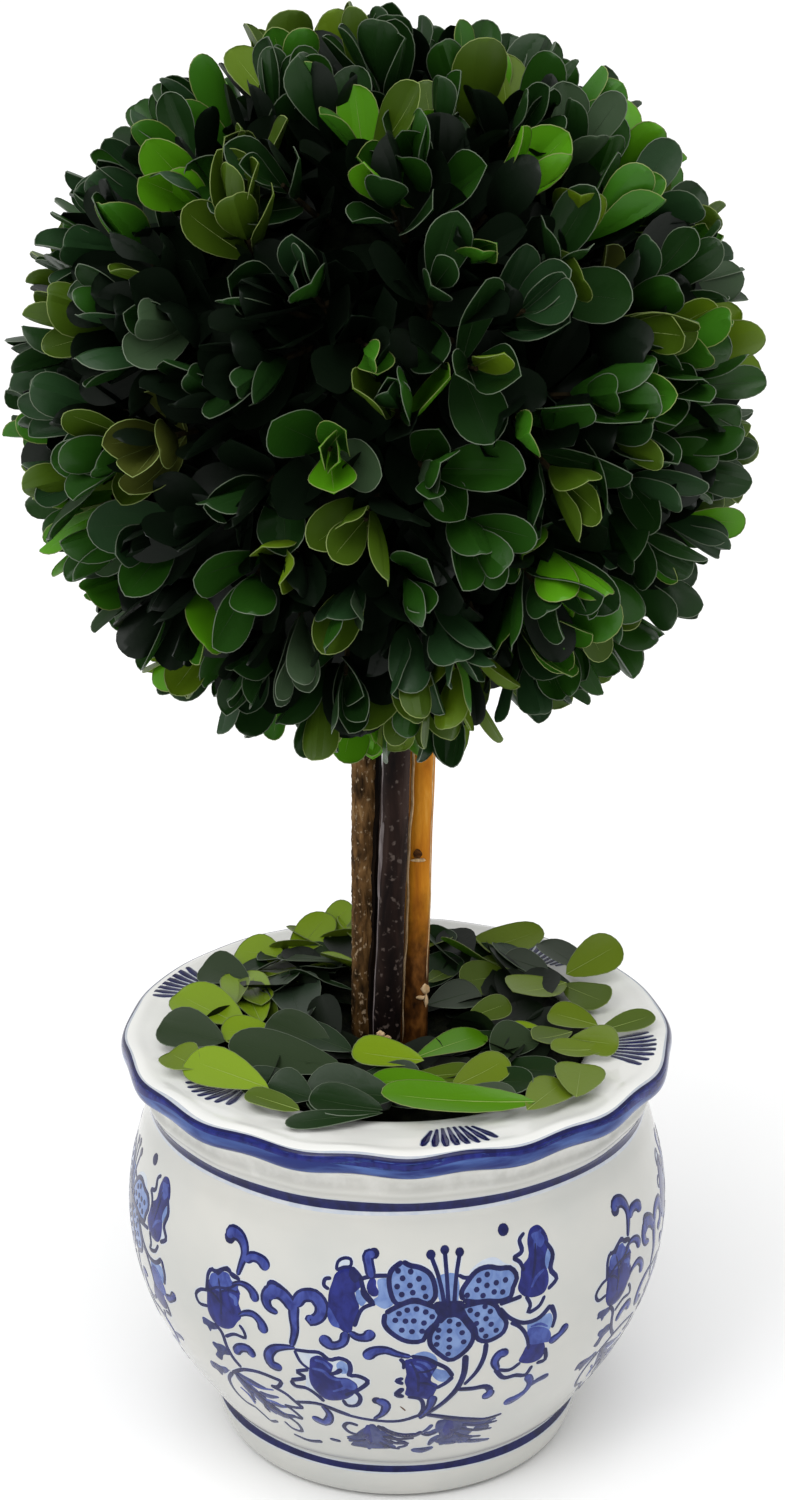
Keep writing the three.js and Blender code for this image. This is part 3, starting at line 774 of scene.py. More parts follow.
def feathered_leaf():
    """A long leaf with a ragged edge and a feathered middle."""
    return [
        *strokes("line", [
            ([(-42.8, 36.8), (-38.2, 39.8), (-33.4, 40.8), (-29.8, 40.4), (-27.6, 40)], (1.3, 1.25, 1.3)),
            ([(-27.6, 40), (-29.4, 37.6), (-31.2, 37.4)], (1.3, 1.3, 1.1)),
            ([(-31.2, 37.4), (-27.4, 35.8), (-25.4, 33.6), (-23.8, 32)], (1.2, 1.25, 1.3)),
            ([(-23.8, 32), (-26.4, 31.4), (-29.2, 31.4)], (1.2, 1.15, 1)),
            ([(-29, 31.6), (-26.8, 29.6), (-25.2, 27.4)], (1.1, 1.2, 1.2)),
            ([(-25.2, 27.4), (-28.6, 27.4), (-30.4, 27.2)], (1.2, 1.1, 1)),
            ([(-29.6, 26.6), (-27.6, 24.4), (-27.8, 21.4), (-30.8, 21.6),
                (-32.2, 23.8)], (1.1, 1.25, 1.1)),
            ([(-42.8, 36.8), (-45.6, 33.2), (-45.8, 29), (-43.8, 26.2), (-40.8, 25.6)], (1.3, 1.2, 1.15)),
            ([(-41, 25.8), (-39.4, 23.4), (-38.2, 21.6), (-35, 22.6)], (1.1, 1.1, 1.3)),
        ]),
        *strokes("slate", [
            ([(-42, 37.4), (-37.1, 32), (-34.1, 28.6), (-30.6, 26.8),
                (-27, 28)], (1.68, 4.48, 5.04, 3.64, 0.98)),
            ([(-41.4, 37.4), (-38.6, 36.6), (-32.8, 35.6)], (2.24, 2.52, 0.84)),
            ([(-41.6, 36.6), (-39.7, 32.5), (-38.8, 29)], (2.24, 2.8, 0.84)),
            ([(-36, 33.2), (-33.4, 33), (-30, 33.8)], (2.24, 2.1, 0.84)),
            ([(-36.4, 30.8), (-35.7, 28), (-33.5, 26.1)], (2.24, 2.1, 0.84)),
            ([(-33.4, 30.6), (-31, 30.4), (-28.4, 30.8)], (1.96, 1.96, 0.7)),
        ]),
        *strokes("line", [
            ([(-41.8, 37.2), (-37.1, 32.2), (-34, 28.8), (-30.8, 27)], (0.88, 1.28, 0.88)),
            ([(-39.6, 33.6), (-36.6, 32.8), (-34.4, 31.8)], (1.08, 0.98, 0.68)),
            ([(-37, 31), (-34, 29.8), (-31.6, 28.6)], (1.08, 0.98, 0.68)),
            ([(-38.4, 32.2), (-39.6, 30), (-39.4, 28)], (0.98, 0.98, 0.68)),
            ([(-35.6, 29.6), (-36.4, 27.6), (-35.6, 26)], (0.98, 0.98, 0.68)),
        ]),
        stroke("blue", [(-38.8, 36), (-36, 35.2), (-30.8, 36)], (0.95, 1.05, 0.45)),
        stroke("blue", [(-42.4, 32.2), (-40.6, 30.4), (-40, 27.2)], (0.75, 0.95, 0.55)),
        stroke("blue", [(-34.8, 31.2), (-32, 31.2), (-29, 30.4)], (0.75, 0.95, 0.45)),
    ]


def double_scroll():
    """A stem that opens into two scrolls, and a third one that curls away at its foot."""
    return [
        scroll([(-26.8, 59.2), (-29, 60), (-29.8, 61.8), (-28.6, 64), (-26.4, 64.2), (-24.4, 62.8),
            (-23, 60.6)], (1.6, 4.3, 3.5)),
        filled("core", [(-30.2, 62.4), (-29.6, 64.2), (-28.9, 65.6), (-27.4, 65.7), (-26.6, 64),
            (-28.6, 62)]),
        stroke("line", [(-30.4, 61.6), (-29.7, 64.2), (-28.9, 65.9), (-27.2, 66.1),
            (-25.2, 65.2)], (0.85, 1.05, 0.85)),
        scroll([(-18.8, 60.4), (-19.2, 59), (-17.2, 60.2), (-16.6, 62.8), (-18.4, 65), (-21, 64.6),
            (-22.8, 61.8)], (2.9, 4.1, 3.5)),
        stroke("line", [(-29, 64.2), (-28.8, 65.8), (-27, 65.6), (-25.8, 65)], (1.67, 2.07, 1.67)),
        scroll([(-23, 62.6), (-23, 59.2), (-22.8, 55.8), (-23.8, 51.4)], (3.5, 2.6, 1.74)),
        scroll([(-23, 51.2), (-25.8, 50.6), (-28.4, 49.4), (-30, 46.6), (-29.4, 44.6),
            (-26.8, 44.4)], (1.34, 3.1, 3.3)),
    ]


def open_bud():
    """The bud with turned-back petals below the double scroll."""
    return [
        filled("pale", [(-23.2, 50.6), (-20.2, 50.6), (-17.2, 51), (-15.2, 49.4), (-11.6, 50.2),
            (-10.4, 47.4), (-10.6, 45.4), (-6.6, 44.2), (-9, 41.4), (-8.8, 37.8), (-10.6, 35.8),
            (-12.8, 37.2), (-18.6, 37.4), (-21.6, 39.8), (-20.6, 45.2), (-21.8, 47.4)]),
        filled("deep", [(-20, 46.8), (-19.5, 49.3), (-17.4, 50.4), (-15.6, 49.2), (-14.3, 48), (-15, 46),
            (-14, 44.8), (-11, 44.7), (-8.8, 42.5), (-9.2, 41), (-11.2, 38.3), (-13.9, 37), (-17.2, 36.8),
            (-19.1, 38.8), (-20.3, 41.4), (-20.4, 44.2)]),
        filled("blue", [(-12.8, 44.2), (-10.8, 44.3), (-9.2, 42.4), (-9.6, 41.4), (-12.2, 41.8)]),
        stroke("line", [(-15.4, 45.2), (-13.6, 46), (-12.4, 47.2)], (0.98, 1.38, 1.68)),
        filled("wash", [(-13.6, 48.4), (-12.4, 49.6), (-11, 48.6), (-11, 46.2), (-12.4, 45.8)]),
        stroke("blue", [(-19.4, 46.2), (-17, 46), (-14.6, 44), (-12.2, 44)], (0.75, 1.35, 0.65)),
        stroke("blue", [(-18.6, 48.8), (-16.4, 48.4), (-15, 46.8)], (0.75, 1.15, 0.65)),
        stroke("blue", [(-10.8, 44.2), (-12, 41.8), (-15, 40)], (0.95, 1.15, 0.55)),
        *strokes("line", [
            ([(-23.2, 50.6), (-20, 50.8), (-17.2, 51), (-15, 49.4), (-12.8, 50.2), (-10.8, 49.4),
                (-10.4, 47.4), (-11, 45.2)], (1.07, 1.27, 1.37)),
            ([(-10.8, 45.4), (-9, 45.6), (-6.6, 44.2), (-8.4, 41.8), (-12.2, 39.2)], (1.3, 1.4, 1.2)),
            ([(-23.2, 50.4), (-21.6, 47), (-20, 45.8)], (0.97, 0.97, 0.87)),
            ([(-20.2, 45.6), (-23.2, 44.2), (-21.4, 43.2), (-25, 41.2)], (1.2, 1.3, 1.5)),
            ([(-25, 41.2), (-24.6, 39.8), (-21.4, 39.6), (-18.6, 37.4), (-17.6, 36)], (1.5, 1.3, 1.4)),
            ([(-12.8, 37.6), (-12, 35.8), (-9.8, 36), (-8.6, 39), (-9.8, 41)], (1.2, 1.3, 1.3)),
            ([(-25.4, 33.8), (-19.2, 34.8), (-15.2, 33.6), (-11.4, 32)], (1.2, 1.4, 1.2)),
        ]),
        scroll([(-18.4, 34.4), (-17, 31.4), (-19, 27.8), (-22.2, 29.2)], (1.44, 3, 3.3)),
    ]


def drop_bud():
    """The tall dark bud left of the flower, over two curled leaves."""
    return [
        filled("deep", [(-13.9, 70.6), (-12.1, 72.1), (-10.3, 72.3), (-9, 71.1), (-8.1, 69.8), (-8, 68.2),
            (-9.2, 67.8), (-9, 65.9), (-8.2, 63.8), (-8.4, 62.3), (-9.6, 58.9), (-9.9, 57.4),
            (-11.2, 56.8), (-12.4, 57.8), (-14.4, 58.6), (-15.4, 60.8), (-15.3, 63), (-15.1, 66.6),
            (-14.4, 69)]),
        filled("blue", [(-15, 63), (-13.6, 60.8), (-12.6, 58.2), (-14, 58.4), (-15.2, 60.4)]),
        filled("line", [(-10.4, 72.6), (-8.2, 70), (-9.2, 69), (-10.6, 70.4)]),
        outlined("pale", [(-13.6, 71.4), (-13.2, 73.4), (-11.8, 74.2), (-10.4, 74), (-10.4, 72.6),
            (-12, 72.2)], 0.88),
        stroke("line", [(-14.6, 69.6), (-16, 69.2), (-16.2, 67.8), (-15, 67)], (1.02, 1.07, 1.02)),
        stroke("line", [(-10.2, 72.4), (-8.2, 70.4), (-7.4, 67.8), (-5, 64.6)], (1.17, 1.27, 1.07)),
        stroke("line", [(-5, 64.6), (-7.2, 63.6), (-9.4, 58.8)], (1.07, 1.07, 1.27)),
        filled("wash", [(-8.8, 68), (-7.8, 67.2), (-6.6, 65.2), (-7.8, 63.8), (-8.8, 65)]),
        scroll([(-11.2, 57.4), (-12, 54.4), (-14.4, 53.4), (-16.8, 55.6)], (2.8, 2.5, 4.4)),
        scroll([(-10.4, 57.4), (-8.4, 56.2), (-6.4, 56.6), (-5.4, 58.2)], (2, 2.5, 4.3)),
    ]


def round_bud():
    """The bud under the flower, with its long scroll to the left."""
    return [
        filled("wash", [(3.2, 51.6), (5.8, 52.8), (8.2, 51.6), (9, 49.8), (6.4, 50.4)]),
        filled("deep", [(1.6, 50.6), (4.2, 51.2), (7, 50.8), (9, 48.7), (8, 46.4), (7.7, 44.2),
            (9.3, 42.8), (8.8, 40.6), (7.6, 38.2), (6.2, 38.6), (4.2, 39), (1.8, 40.2), (2, 42.6),
            (1.6, 44.2), (2, 46.6)]),
        stroke("line", [(3, 50.2), (4.6, 46), (4.8, 41)], (0.6, 1, 0.7)),
        stroke("line", [(4.4, 47), (6.8, 47.2), (8.8, 48.2)], (0.6, 0.9, 0.5)),
        stroke("line", [(4.6, 44), (6.6, 43.6), (8.6, 42.4)], (0.6, 0.9, 0.5)),
        stroke("blue", [(4.2, 50.2), (6.4, 49.2), (8, 46.4)], (0.65, 1.15, 0.65)),
        stroke("blue", [(2.6, 49.4), (5, 48.2), (6.8, 45.4)], (0.55, 0.95, 0.55)),
        scroll([(-7.2, 50.8), (-5, 52.8), (-2.6, 53.2), (0, 52.2), (3, 51.4)], (4, 2.5, 1.44)),
        stroke("line", [(3, 51.6), (6.4, 50.8), (8.8, 49.2), (11, 47.6), (12.6, 45)], (1.17, 1.27, 1.27)),
        stroke("line", [(12.6, 45), (11.2, 43.4), (8.8, 41.8)], (1.5, 1.3, 1.2)),
        filled("wash", [(7.2, 48.6), (9.2, 47.6), (11.8, 46.4), (12.2, 44.8), (10.4, 43.6), (8.8, 44.4)]),
        *strokes("line", [
            ([(0.6, 51), (1.4, 49.8), (1.4, 48)], (1.27, 1.07, 0.87)),
            ([(1.4, 45.4), (0, 44.6), (1.4, 43.6)], (1.2, 1.5, 1.2)),
            ([(1.4, 42.4), (0, 40.2), (1.6, 39.6)], (1.5, 1.9, 1.4)),
            ([(2.4, 39.6), (5.4, 38.6), (6.2, 35.2), (5.2, 32.2)], (1.2, 1.3, 1.4)),
        ]),
        scroll([(8.4, 39.6), (7.6, 35.4), (5.4, 32)], (3.3, 2.3, 1.54)),
    ]


def right_bud():
    """The upright bud right of the flower, between ragged leaves."""
    return [
        filled("pale", [(34, 67.2), (36.2, 67), (37, 64.8), (35.2, 63.8), (33.8, 64.4)]),
        filled("deep", [(30.7, 75.2), (31.8, 77.4), (33.8, 77.8), (35.6, 76), (36.2, 73), (35, 70.8),
            (34.6, 69), (35.2, 66.6), (35, 63.8), (33.8, 62.2), (31.6, 61.8), (28.8, 62.6), (27.2, 64.8),
            (28, 67.4), (28.4, 69.6), (30.4, 71.4)]),
        stroke("blue", [(34.6, 76.4), (33, 75), (32.4, 72.4)], (0.8, 1.5, 0.7)),
        stroke("blue", [(34.2, 67.8), (32.2, 66.6), (30.6, 64.4)], (0.7, 1.1, 0.6)),
        stroke("line", [(32.6, 74), (32, 70), (31, 66.4)], (0.5, 0.9, 0.6)),
        filled("blue", [(31.8, 76), (33.8, 76.2), (35.2, 74), (33.8, 72.6), (32.6, 74)]),
        filled("wash", [(34.6, 72.4), (36.2, 71.2), (35.8, 68.4), (34.4, 67.2), (34.4, 69.4)]),
        *strokes("line", [
            ([(30.2, 76.8), (28.8, 75.6), (29, 73), (26.6, 72)], (0.97, 1.37, 1.07)),
            ([(26.6, 72), (28.2, 70.8), (29, 68.6)], (1.17, 1.17, 0.97)),
            ([(35.2, 73.8), (36.8, 70.6), (35.8, 67.2), (37.3, 64.8), (34.8, 62.8)], (1.15, 1.55, 1.15)),
            ([(22.8, 62.2), (25.4, 62.6), (28.2, 63)], (1.07, 1.17, 1.27)),
            ([(29.2, 62.8), (30.2, 60), (29.6, 58.8), (32.4, 59.4), (34, 61.6)], (1.07, 1.17, 1.07)),
        ]),
    ]


def trumpet_bud():
    """The bud at the right end, with its flared lip and its spike."""
    return [
        filled("wash", [(29.6, 55.8), (32.4, 56.4), (35.6, 56.8), (36, 53), (34, 51.2), (30.6, 50.8),
            (29.6, 53.8)]),
        filled("deep", [(30.3, 50.4), (28.8, 47.7), (28.2, 46), (30.2, 44.6), (32.6, 44.2), (34.4, 44.8),
            (35, 47.4), (34.3, 49.4), (32.4, 49.8)]),
        filled("blue", [(29.8, 54.4), (33.3, 54), (36, 51.5), (36, 49), (34.3, 49.2), (30.3, 50.2)]),
        stroke("deep", [(30.4, 52.2), (33, 52.4), (35.6, 50.8)], (0.6, 0.9, 0.5)),
        stroke("line", [(22.8, 61.4), (25, 58.6), (29, 56.2), (32.4, 56.4),
            (35.6, 58.8)], (1.07, 1.27, 1.47)),
        stroke("line", [(35.6, 58.8), (36.8, 55.2), (36.2, 52.6)], (1.67, 1.27, 1.07)),
        stroke("line", [(25.4, 57.2), (27.8, 55.4), (29.8, 51.8), (30.4, 48.6)], (1.07, 1.17, 0.97)),
        stroke("blue", [(30.4, 54.8), (32.8, 54.8), (35, 53.4)], (0.55, 0.95, 0.55)),
        scroll([(35.8, 48.8), (38.6, 50), (40.6, 52.2)], (3.2, 2.2, 3.3)),
        stroke("line", [(35, 47.6), (35.4, 43.8), (33.2, 43.8)], (1.2, 1.4, 1.3)),
    ]


def tail_scroll():
    """The scrolls below the trumpet bud."""
    return [
        scroll([(25.4, 49.2), (23.4, 49.4), (22.2, 47.6), (23.2, 44.8)], (3.3, 2.8, 1.74)),
        stroke("line", [(23.2, 44.8), (26.4, 44), (28.8, 45.4)], (1.2, 1.25, 1.2)),
        stroke("line", [(22.4, 45.2), (25.4, 41.8), (28, 41.8), (30.8, 41),
            (32.2, 43.4)], (1.4, 1.4, 1.3)),
        scroll([(31.2, 40.8), (33, 37.6), (32.4, 35.2), (30, 33.4),
            (27, 32.8)], (2.8, 2.2, 4.1), "slate"),
        stroke("slate", [(32.8, 36.6), (35.4, 37.8), (38.2, 38.2)], (1.89, 2.17, 2.45)),
    ]


def main_vine():
    """The stems of the flower and the thin vine along the foot."""
    return [
        stroke("line", [(5.4, 31.6), (11.4, 37.4), (13.8, 41), (15, 44.8),
            (15.2, 50.8)], (1.3, 1.7, 1.8)),
        stroke("line", [(15.4, 42), (18.2, 45.8), (19.6, 50), (19.8, 53.2)], (1.07, 1.37, 1.47)),
        stroke("line", [(14, 40.8), (17.6, 40.4), (21, 40.2), (22.6, 38.2)], (1.5, 1.6, 2.1)),
        scroll([(22.2, 39), (22, 37.2), (20.4, 37.4)], (3.1, 3.1, 3.7)),
        stroke("line", [(-17.8, 34.4), (-12.4, 32.2), (-6.4, 31), (1, 31), (5.6, 33)], (1.2, 1.15, 1.3)),
        scroll([(-5.8, 31.4), (-3.4, 33.8), (-2.8, 37), (-4.8, 38.4)], (1.14, 2.6, 3.6)),
        dot(-4.8, 38.2, 2.35),
    ]


def foot_leaves():
    """Two clusters of pointed leaves over the foot, and the dashes beside them."""
    return [
        filled("slate", [(-6.1, 29.6), (-9, 27.4), (-12, 24.2), (-14.2, 22.9), (-12.4, 21.8),
            (-13.6, 19.2), (-10.9, 18.7), (-7.7, 18.4), (-4.5, 18.6), (-1.3, 19.2), (-2.6, 21.6),
            (-3.4, 24.8), (-4.7, 27.9)]),
        *strokes("slate", [
            ([(-5.6, 27), (-2.4, 24.2), (1.6, 22.8)], (2, 3, 0.8)),
            ([(-6, 25), (-3.4, 21.6), (-0.4, 19.6)], (2.4, 3.2, 1)),
            ([(-7, 26), (-10.4, 23), (-13.8, 21)], (2.4, 3.2, 1)),
            ([(-7, 24), (-7.4, 21), (-8.4, 18)], (2.6, 3.2, 1.2)),
        ]),
        *strokes("line", [
            ([(-5, 29), (-3.4, 27), (0, 25), (4.6, 24.8), (6.6, 26.4)], (1.28, 1.58, 1.88)),
            ([(-2.4, 22.6), (0, 21.4), (2, 22), (2.6, 20.6), (0, 19.4)], (1.28, 1.48, 1.08)),
            ([(-10, 28.4), (-12.6, 29), (-13.9, 27.4), (-13, 25.4), (-10.8, 24.4)], (1.18, 1.38, 1.18)),
            ([(-4.2, 28.6), (-2.4, 27), (1, 25.4), (5.4, 25.2)], (1.3, 1.3, 1.7)),
            ([(-2.6, 24.8), (-0.8, 23.6), (2, 21)], (1.1, 1.2, 1.2)),
            ([(-4, 24.6), (0, 23.4), (4.6, 23.6)], (1.28, 1.18, 0.88)),
            ([(-4, 23.2), (-0.4, 21.4), (3.4, 21.4)], (1.28, 1.18, 0.88)),
            ([(-5, 22), (-2.6, 19.8), (0.8, 18.8)], (1.28, 1.18, 0.88)),
            ([(-8.6, 22.6), (-11.4, 21.6), (-14, 22.4)], (1.18, 1.08, 0.88)),
        ]),
        stroke("deep", [(-7.4, 29), (-8, 25), (-7.4, 21)], (1.12, 3.08, 1.68)),
        filled("slate", [(10.2, 30.4), (13.6, 30.4), (17.3, 28.8), (19.3, 25.4), (21.2, 24.3),
            (20.2, 21.8), (23, 21), (19, 19.6), (14, 19.2), (10, 22), (11.2, 24.4), (9.8, 27.2)]),
        *strokes("slate", [
            ([(12, 27.4), (9, 25.6), (7, 25.6)], (2.4, 2.8, 0.9)),
            ([(12, 24), (9.6, 21.6), (9, 19.8)], (2.6, 3, 1)),
            ([(16, 23), (18.4, 20.4), (22.4, 19.2)], (2.6, 3.2, 1)),
            ([(15, 29), (19.6, 27.4), (25, 27.6)], (2.4, 2.8, 0.9)),
            ([(20.6, 27), (23.4, 26.4), (26.6, 27.4)], (1.68, 1.82, 0.84)),
            ([(20.8, 24.8), (23.4, 24.8), (25.6, 24)], (3.08, 3.64, 1.68)),
        ]),
        *strokes("line", [
            ([(17, 27.6), (22, 26), (27.4, 26)], (1.28, 1.18, 0.88)),
            ([(17, 26), (21.6, 24), (26.8, 23.2)], (1.28, 1.18, 0.88)),
            ([(15.6, 24.4), (19.6, 21.8), (24.4, 20.6)], (1.28, 1.18, 0.88)),
            ([(10.4, 25.4), (8, 24.6), (6.4, 25.4)], (1.18, 1.08, 0.88)),
        ]),
        stroke("deep", [(13.6, 31), (13.4, 27), (14.4, 22.6)], (1.26, 4.2, 2.24)),
        stroke("line", [(7, 33), (9.6, 32.2), (14, 30.6), (18.4, 29.2), (23, 28),
            (27.8, 28.6)], (1.48, 1.98, 1.88, 0.98)),
        *strokes("slate", [
            ([(19.6, 19.8), (24, 18.6), (28.4, 17.8)], (2.24, 2.24, 1.12)),
            ([(12, 19.8), (14.4, 20.4), (17, 19.6)], (1.89, 1.89, 1.33)),
            ([(9, 29), (7.8, 27), (6.6, 26)], (1.61, 1.61, 1.19)),
            ([(4, 18.2), (7.2, 17.8), (10.6, 18.8)], (2.1, 3.22, 1.82)),
        ]),
        stroke("line", [(-31.8, 18.6), (-27.4, 17.6), (-22.4, 18.6)], (1.1, 1.3, 1.7)),
        stroke("line", [(-19.4, 20.8), (-16.2, 20.4)], (1.6, 1.5, 1.4)),
    ]


def foot_fleck():
    """The small brown fleck in the glaze above the foot."""
    return [stroke("fleck", [(0.7, 36.3), (1.3, 35.6), (2, 34.7)], (0.3, 0.55, 0.45), lay_once)]


def flange_fans():
    """Fans of eight drops that spread from a tight inner arc to a wide outer one."""
    made = []
    for place in np.linspace(-1, 1, 8):
        inner = (4.4 * place, -5.6 + 0.8 * place**2)
        outer = (8.3 * place, 5.6 - 3.2 * place**2)
        made.append(stroke("line", [inner, outer], (0.7, 1.3, 2.1, 1.3), lay_on_flange))
    return made


def painted_ring(tone, low, high):
    """A flat closed ring in the glaze between two places along the outline, each given for all angles."""
    angle = circle(RING_ROWS)
    low, high = low(angle), high(angle)
    share = np.concatenate([[0, 0.015], np.linspace(0.04, 0.96, 21), [0.985, 1, 0.66, 0.33]])
    height = np.array([SUNK, *[PROUD[tone]] * 23, SUNK, BURIED, BURIED])
    place = low[:, None] + (high - low)[:, None] * share
    points = on_outline(place, angle[:, None], height)
    return tone, hoop(points[:, ::-1])


def outline_place(height, start=0):
    """The place along the outline where it first reaches a height."""
    rows = PROFILE[start:CREST_INDEX + 1, 1]
    return start + np.interp(height, rows, np.arange(len(rows)))


def wander(middle, swing, waves, seed):
    """A place that wanders by two slow sines round the pot."""
    phases = np.random.default_rng(seed).uniform(0, TURN, 2)
    return lambda angle: (middle + swing * np.sin(waves * angle + phases[0])
                          + swing * 0.6 * np.sin((waves * 2 + 1) * angle + phases[1]))


def make_rings():
    """The blue band on the rim, dark above and streaky below, and the lines at the neck and the foot."""
    band_low, band_high = outline_place(BAND_FOOT - 0.3, NECK_INDEX - 8), CREST_INDEX - 6.0
    neck_low, neck_high = outline_place(NECK_HEIGHT - 1.3), outline_place(NECK_HEIGHT + 1.0)
    foot_low, foot_high = outline_place(FOOT_HEIGHT - 0.8), outline_place(FOOT_HEIGHT + 0.8)
    return [
        painted_ring("halo", wander(band_low - 1.6, 0.3, 5, 1), wander(band_high + 2.0, 0.3, 7, 2)),
        painted_ring("band", wander(band_low, 0.25, 6, 3), wander(band_high - 3, 0.8, 9, 4)),
        painted_ring("slate", wander(band_low, 0.25, 6, 3), wander(band_low + 1.2, 0.25, 6, 3)),
        painted_ring("deep", wander(band_high - 7, 1.6, 5, 5), wander(band_high - 0.8, 0.4, 9, 4)),
        painted_ring("line", wander(band_high - 2.6, 0.5, 4, 7), wander(band_high, 0.4, 9, 4)),
        painted_ring("halo", wander(neck_low - 0.8, 0.2, 4, 10), wander(neck_high + 0.8, 0.2, 5, 11)),
        painted_ring("line", wander(neck_low, 0.15, 4, 10), wander(neck_high, 0.2, 5, 11)),
        painted_ring("halo", wander(foot_low - 1.0, 0.3, 3, 8), wander(foot_high + 1.0, 0.3, 4, 9)),
        painted_ring("line", wander(foot_low, 0.3, 3, 8), wander(foot_high, 0.3, 4, 9)),
    ]


def make_painting():
    """All strokes and rings, joined by tone into one piece each."""
    motifs = [flower_petals, flower_spots, flower_throat, left_bud, feathered_leaf, double_scroll, drop_bud,
              open_bud, round_bud, right_bud, trumpet_bud, tail_scroll, main_vine, foot_leaves, foot_fleck,
              flange_fans]
    finishes = {
        "halo": cobalt_finish("cobalt_halo", (0.52, 0.54, 0.57), (0.44, 0.48, 0.55)),
        "pale": cobalt_finish("cobalt_pale", (0.48, 0.52, 0.57), (0.41, 0.46, 0.55)),
        "wash": cobalt_finish("cobalt_wash", (0.165, 0.245, 0.46), (0.095, 0.155, 0.36)),
        "slate": cobalt_finish("cobalt_slate", (0.034, 0.046, 0.160), (0.012, 0.017, 0.085)),
        "deep": cobalt_finish("cobalt_deep", (0.013, 0.019, 0.165), (0.005, 0.007, 0.085)),
        "band": cobalt_finish("cobalt_band", (0.058, 0.115, 0.32), (0.009, 0.020, 0.13), (7, 7, 1)),
        "blue": cobalt_finish("cobalt_blue", (0.052, 0.085, 0.31), (0.019, 0.031, 0.19)),
        "core": cobalt_finish("cobalt_core", (0.042, 0.062, 0.27), (0.015, 0.023, 0.15)),
        "line": cobalt_finish("cobalt_line", (0.008, 0.011, 0.085), (0.004, 0.005, 0.045)),
        "fleck": cobalt_finish("iron_fleck", (0.16, 0.075, 0.03), (0.08, 0.035, 0.015)),
    }
    finishes["spot"] = finishes["line"]
    parts = {tone: [] for tone in finishes}
    for tone, part in make_rings() + [drawn for motif in motifs for made in motif() for drawn in made]:
        parts[tone].append(part)
    for tone, made in parts.items():
        piece("pot_painting_" + tone, joined(made), finishes[tone], "pot", crease=math.radians(30))


# Stems

def stem_axis(stem, heights):
    """The middle of a stem and its radius at some heights, both going evenly from its foot to its head."""
    share = (heights - STEM_FOOT_HEIGHT) / (STEM_HEAD_HEIGHT - STEM_FOOT_HEIGHT)
    foot, head = np.array(stem["foot"]), np.array(stem["head"])
    places = foot + share[..., None] * (head - foot)
    radius = stem["radii"][0] + share * (stem["radii"][1] - stem["radii"][0])
    return places, radius


def round_stem(stem, radius, angle, height):
    """Points at a radius and an angle from a stem's own axis."""
    places, _ = stem_axis(stem, height)
    x = places[..., 0] + radius * np.sin(angle)
    y = places[..., 1] - radius * np.cos(angle)
    return spread(x, y, height)


def rough_bark(radius, angle, height):
    """Short broken fissures, ridged noise stretched along the stem, with fine crumbs and slow swellings."""
    around = spread(np.cos(angle) * 2.2, np.sin(angle) * 2.2, height * 0.22)
    fissures = 1 - np.abs(value_noise(around * 2.2, 3)) * 2
    crumbs = value_noise(around * np.array([6, 6, 12]), 4)
    swells = value_noise(around * 0.3, 5)
    return radius - 0.25 + 0.2 * fissures + 0.14 * crumbs + 0.2 * swells


def smooth_bark(radius, angle, height):
    """Slow swellings, a few long ribs and fine grain."""
    around = spread(np.cos(angle) * 1.4, np.sin(angle) * 1.4, height * 0.06)
    ribs = value_noise(around * np.array([2.2, 2.2, 0.8]), 8)
    fine = value_noise(around * np.array([7, 7, 9]), 9)
    return radius - 0.1 + 0.2 * value_noise(around, 7) + 0.12 * ribs + 0.04 * fine


def peeled_bark(radius, angle, height):
    """Shallow flats where the bark was pulled off, and fine splits."""
    around = spread(np.cos(angle) * 1.5, np.sin(angle) * 1.5, height * 0.05)
    flats = value_noise(around * 1.5, 12)
    splits = np.abs(value_noise(around * np.array([8, 8, 1.2]), 13))
    return radius - 0.1 + 0.16 * flats - 0.1 * splits


STEM_LOOKS = {
    "stem_left": (rough_bark, "brown_bark"),
    "stem_middle": (smooth_bark, "dark_bark"),
    "stem_right": (peeled_bark, "peeled_wood"),
}


def stem_finishes():
    """The three barks. Each darkens to its foot but the fine specks, and the peeled wood has none."""
    brown = bark_finish("brown_bark", [
        (0.32, (0.020, 0.010, 0.003)), (0.45, (0.085, 0.043, 0.015)), (0.58, (0.155, 0.080, 0.028)),
        (0.70, (0.245, 0.145, 0.062))], 0.75, 520, (1, 1, 3), 0.35)
    darker_foot(brown, 520, (1, 1, 3), [
        (0.35, (0.010, 0.005, 0.001)), (0.5, (0.045, 0.022, 0.006)), (0.68, (0.10, 0.052, 0.016))],
        low=104, high=142)
    specked(brown, 1100, (1, 1, 1.5), (0.36, 0.26, 0.16))
    dark = bark_finish("dark_bark", [
        (0.32, (0.004, 0.002, 0.002)), (0.52, (0.018, 0.009, 0.007)), (0.72, (0.045, 0.026, 0.021))],
        0.6, 300, (1, 1, 5), 0.2)
    darker_foot(dark, 300, (1, 1, 5), [(0.35, (0.002, 0.001, 0.001)), (0.7, (0.008, 0.004, 0.003))],
        low=104, high=146)
    specked(dark, 650, (1, 1, 1), (0.10, 0.075, 0.065))
    peeled = bark_finish("peeled_wood", [
        (0.30, (0.31, 0.092, 0.006)), (0.44, (0.50, 0.175, 0.010)), (0.58, (0.62, 0.245, 0.018)),
        (0.74, (0.74, 0.37, 0.07))], 0.6, 330, (1, 1, 5), 0.2)
    darker_foot(peeled, 420, (1, 1, 2), [
        (0.34, (0.014, 0.006, 0.002)), (0.5, (0.075, 0.026, 0.005)), (0.68, (0.20, 0.075, 0.015))],
        low=117, high=137)
    return {"brown_bark": brown, "dark_bark": dark, "peeled_wood": peeled}


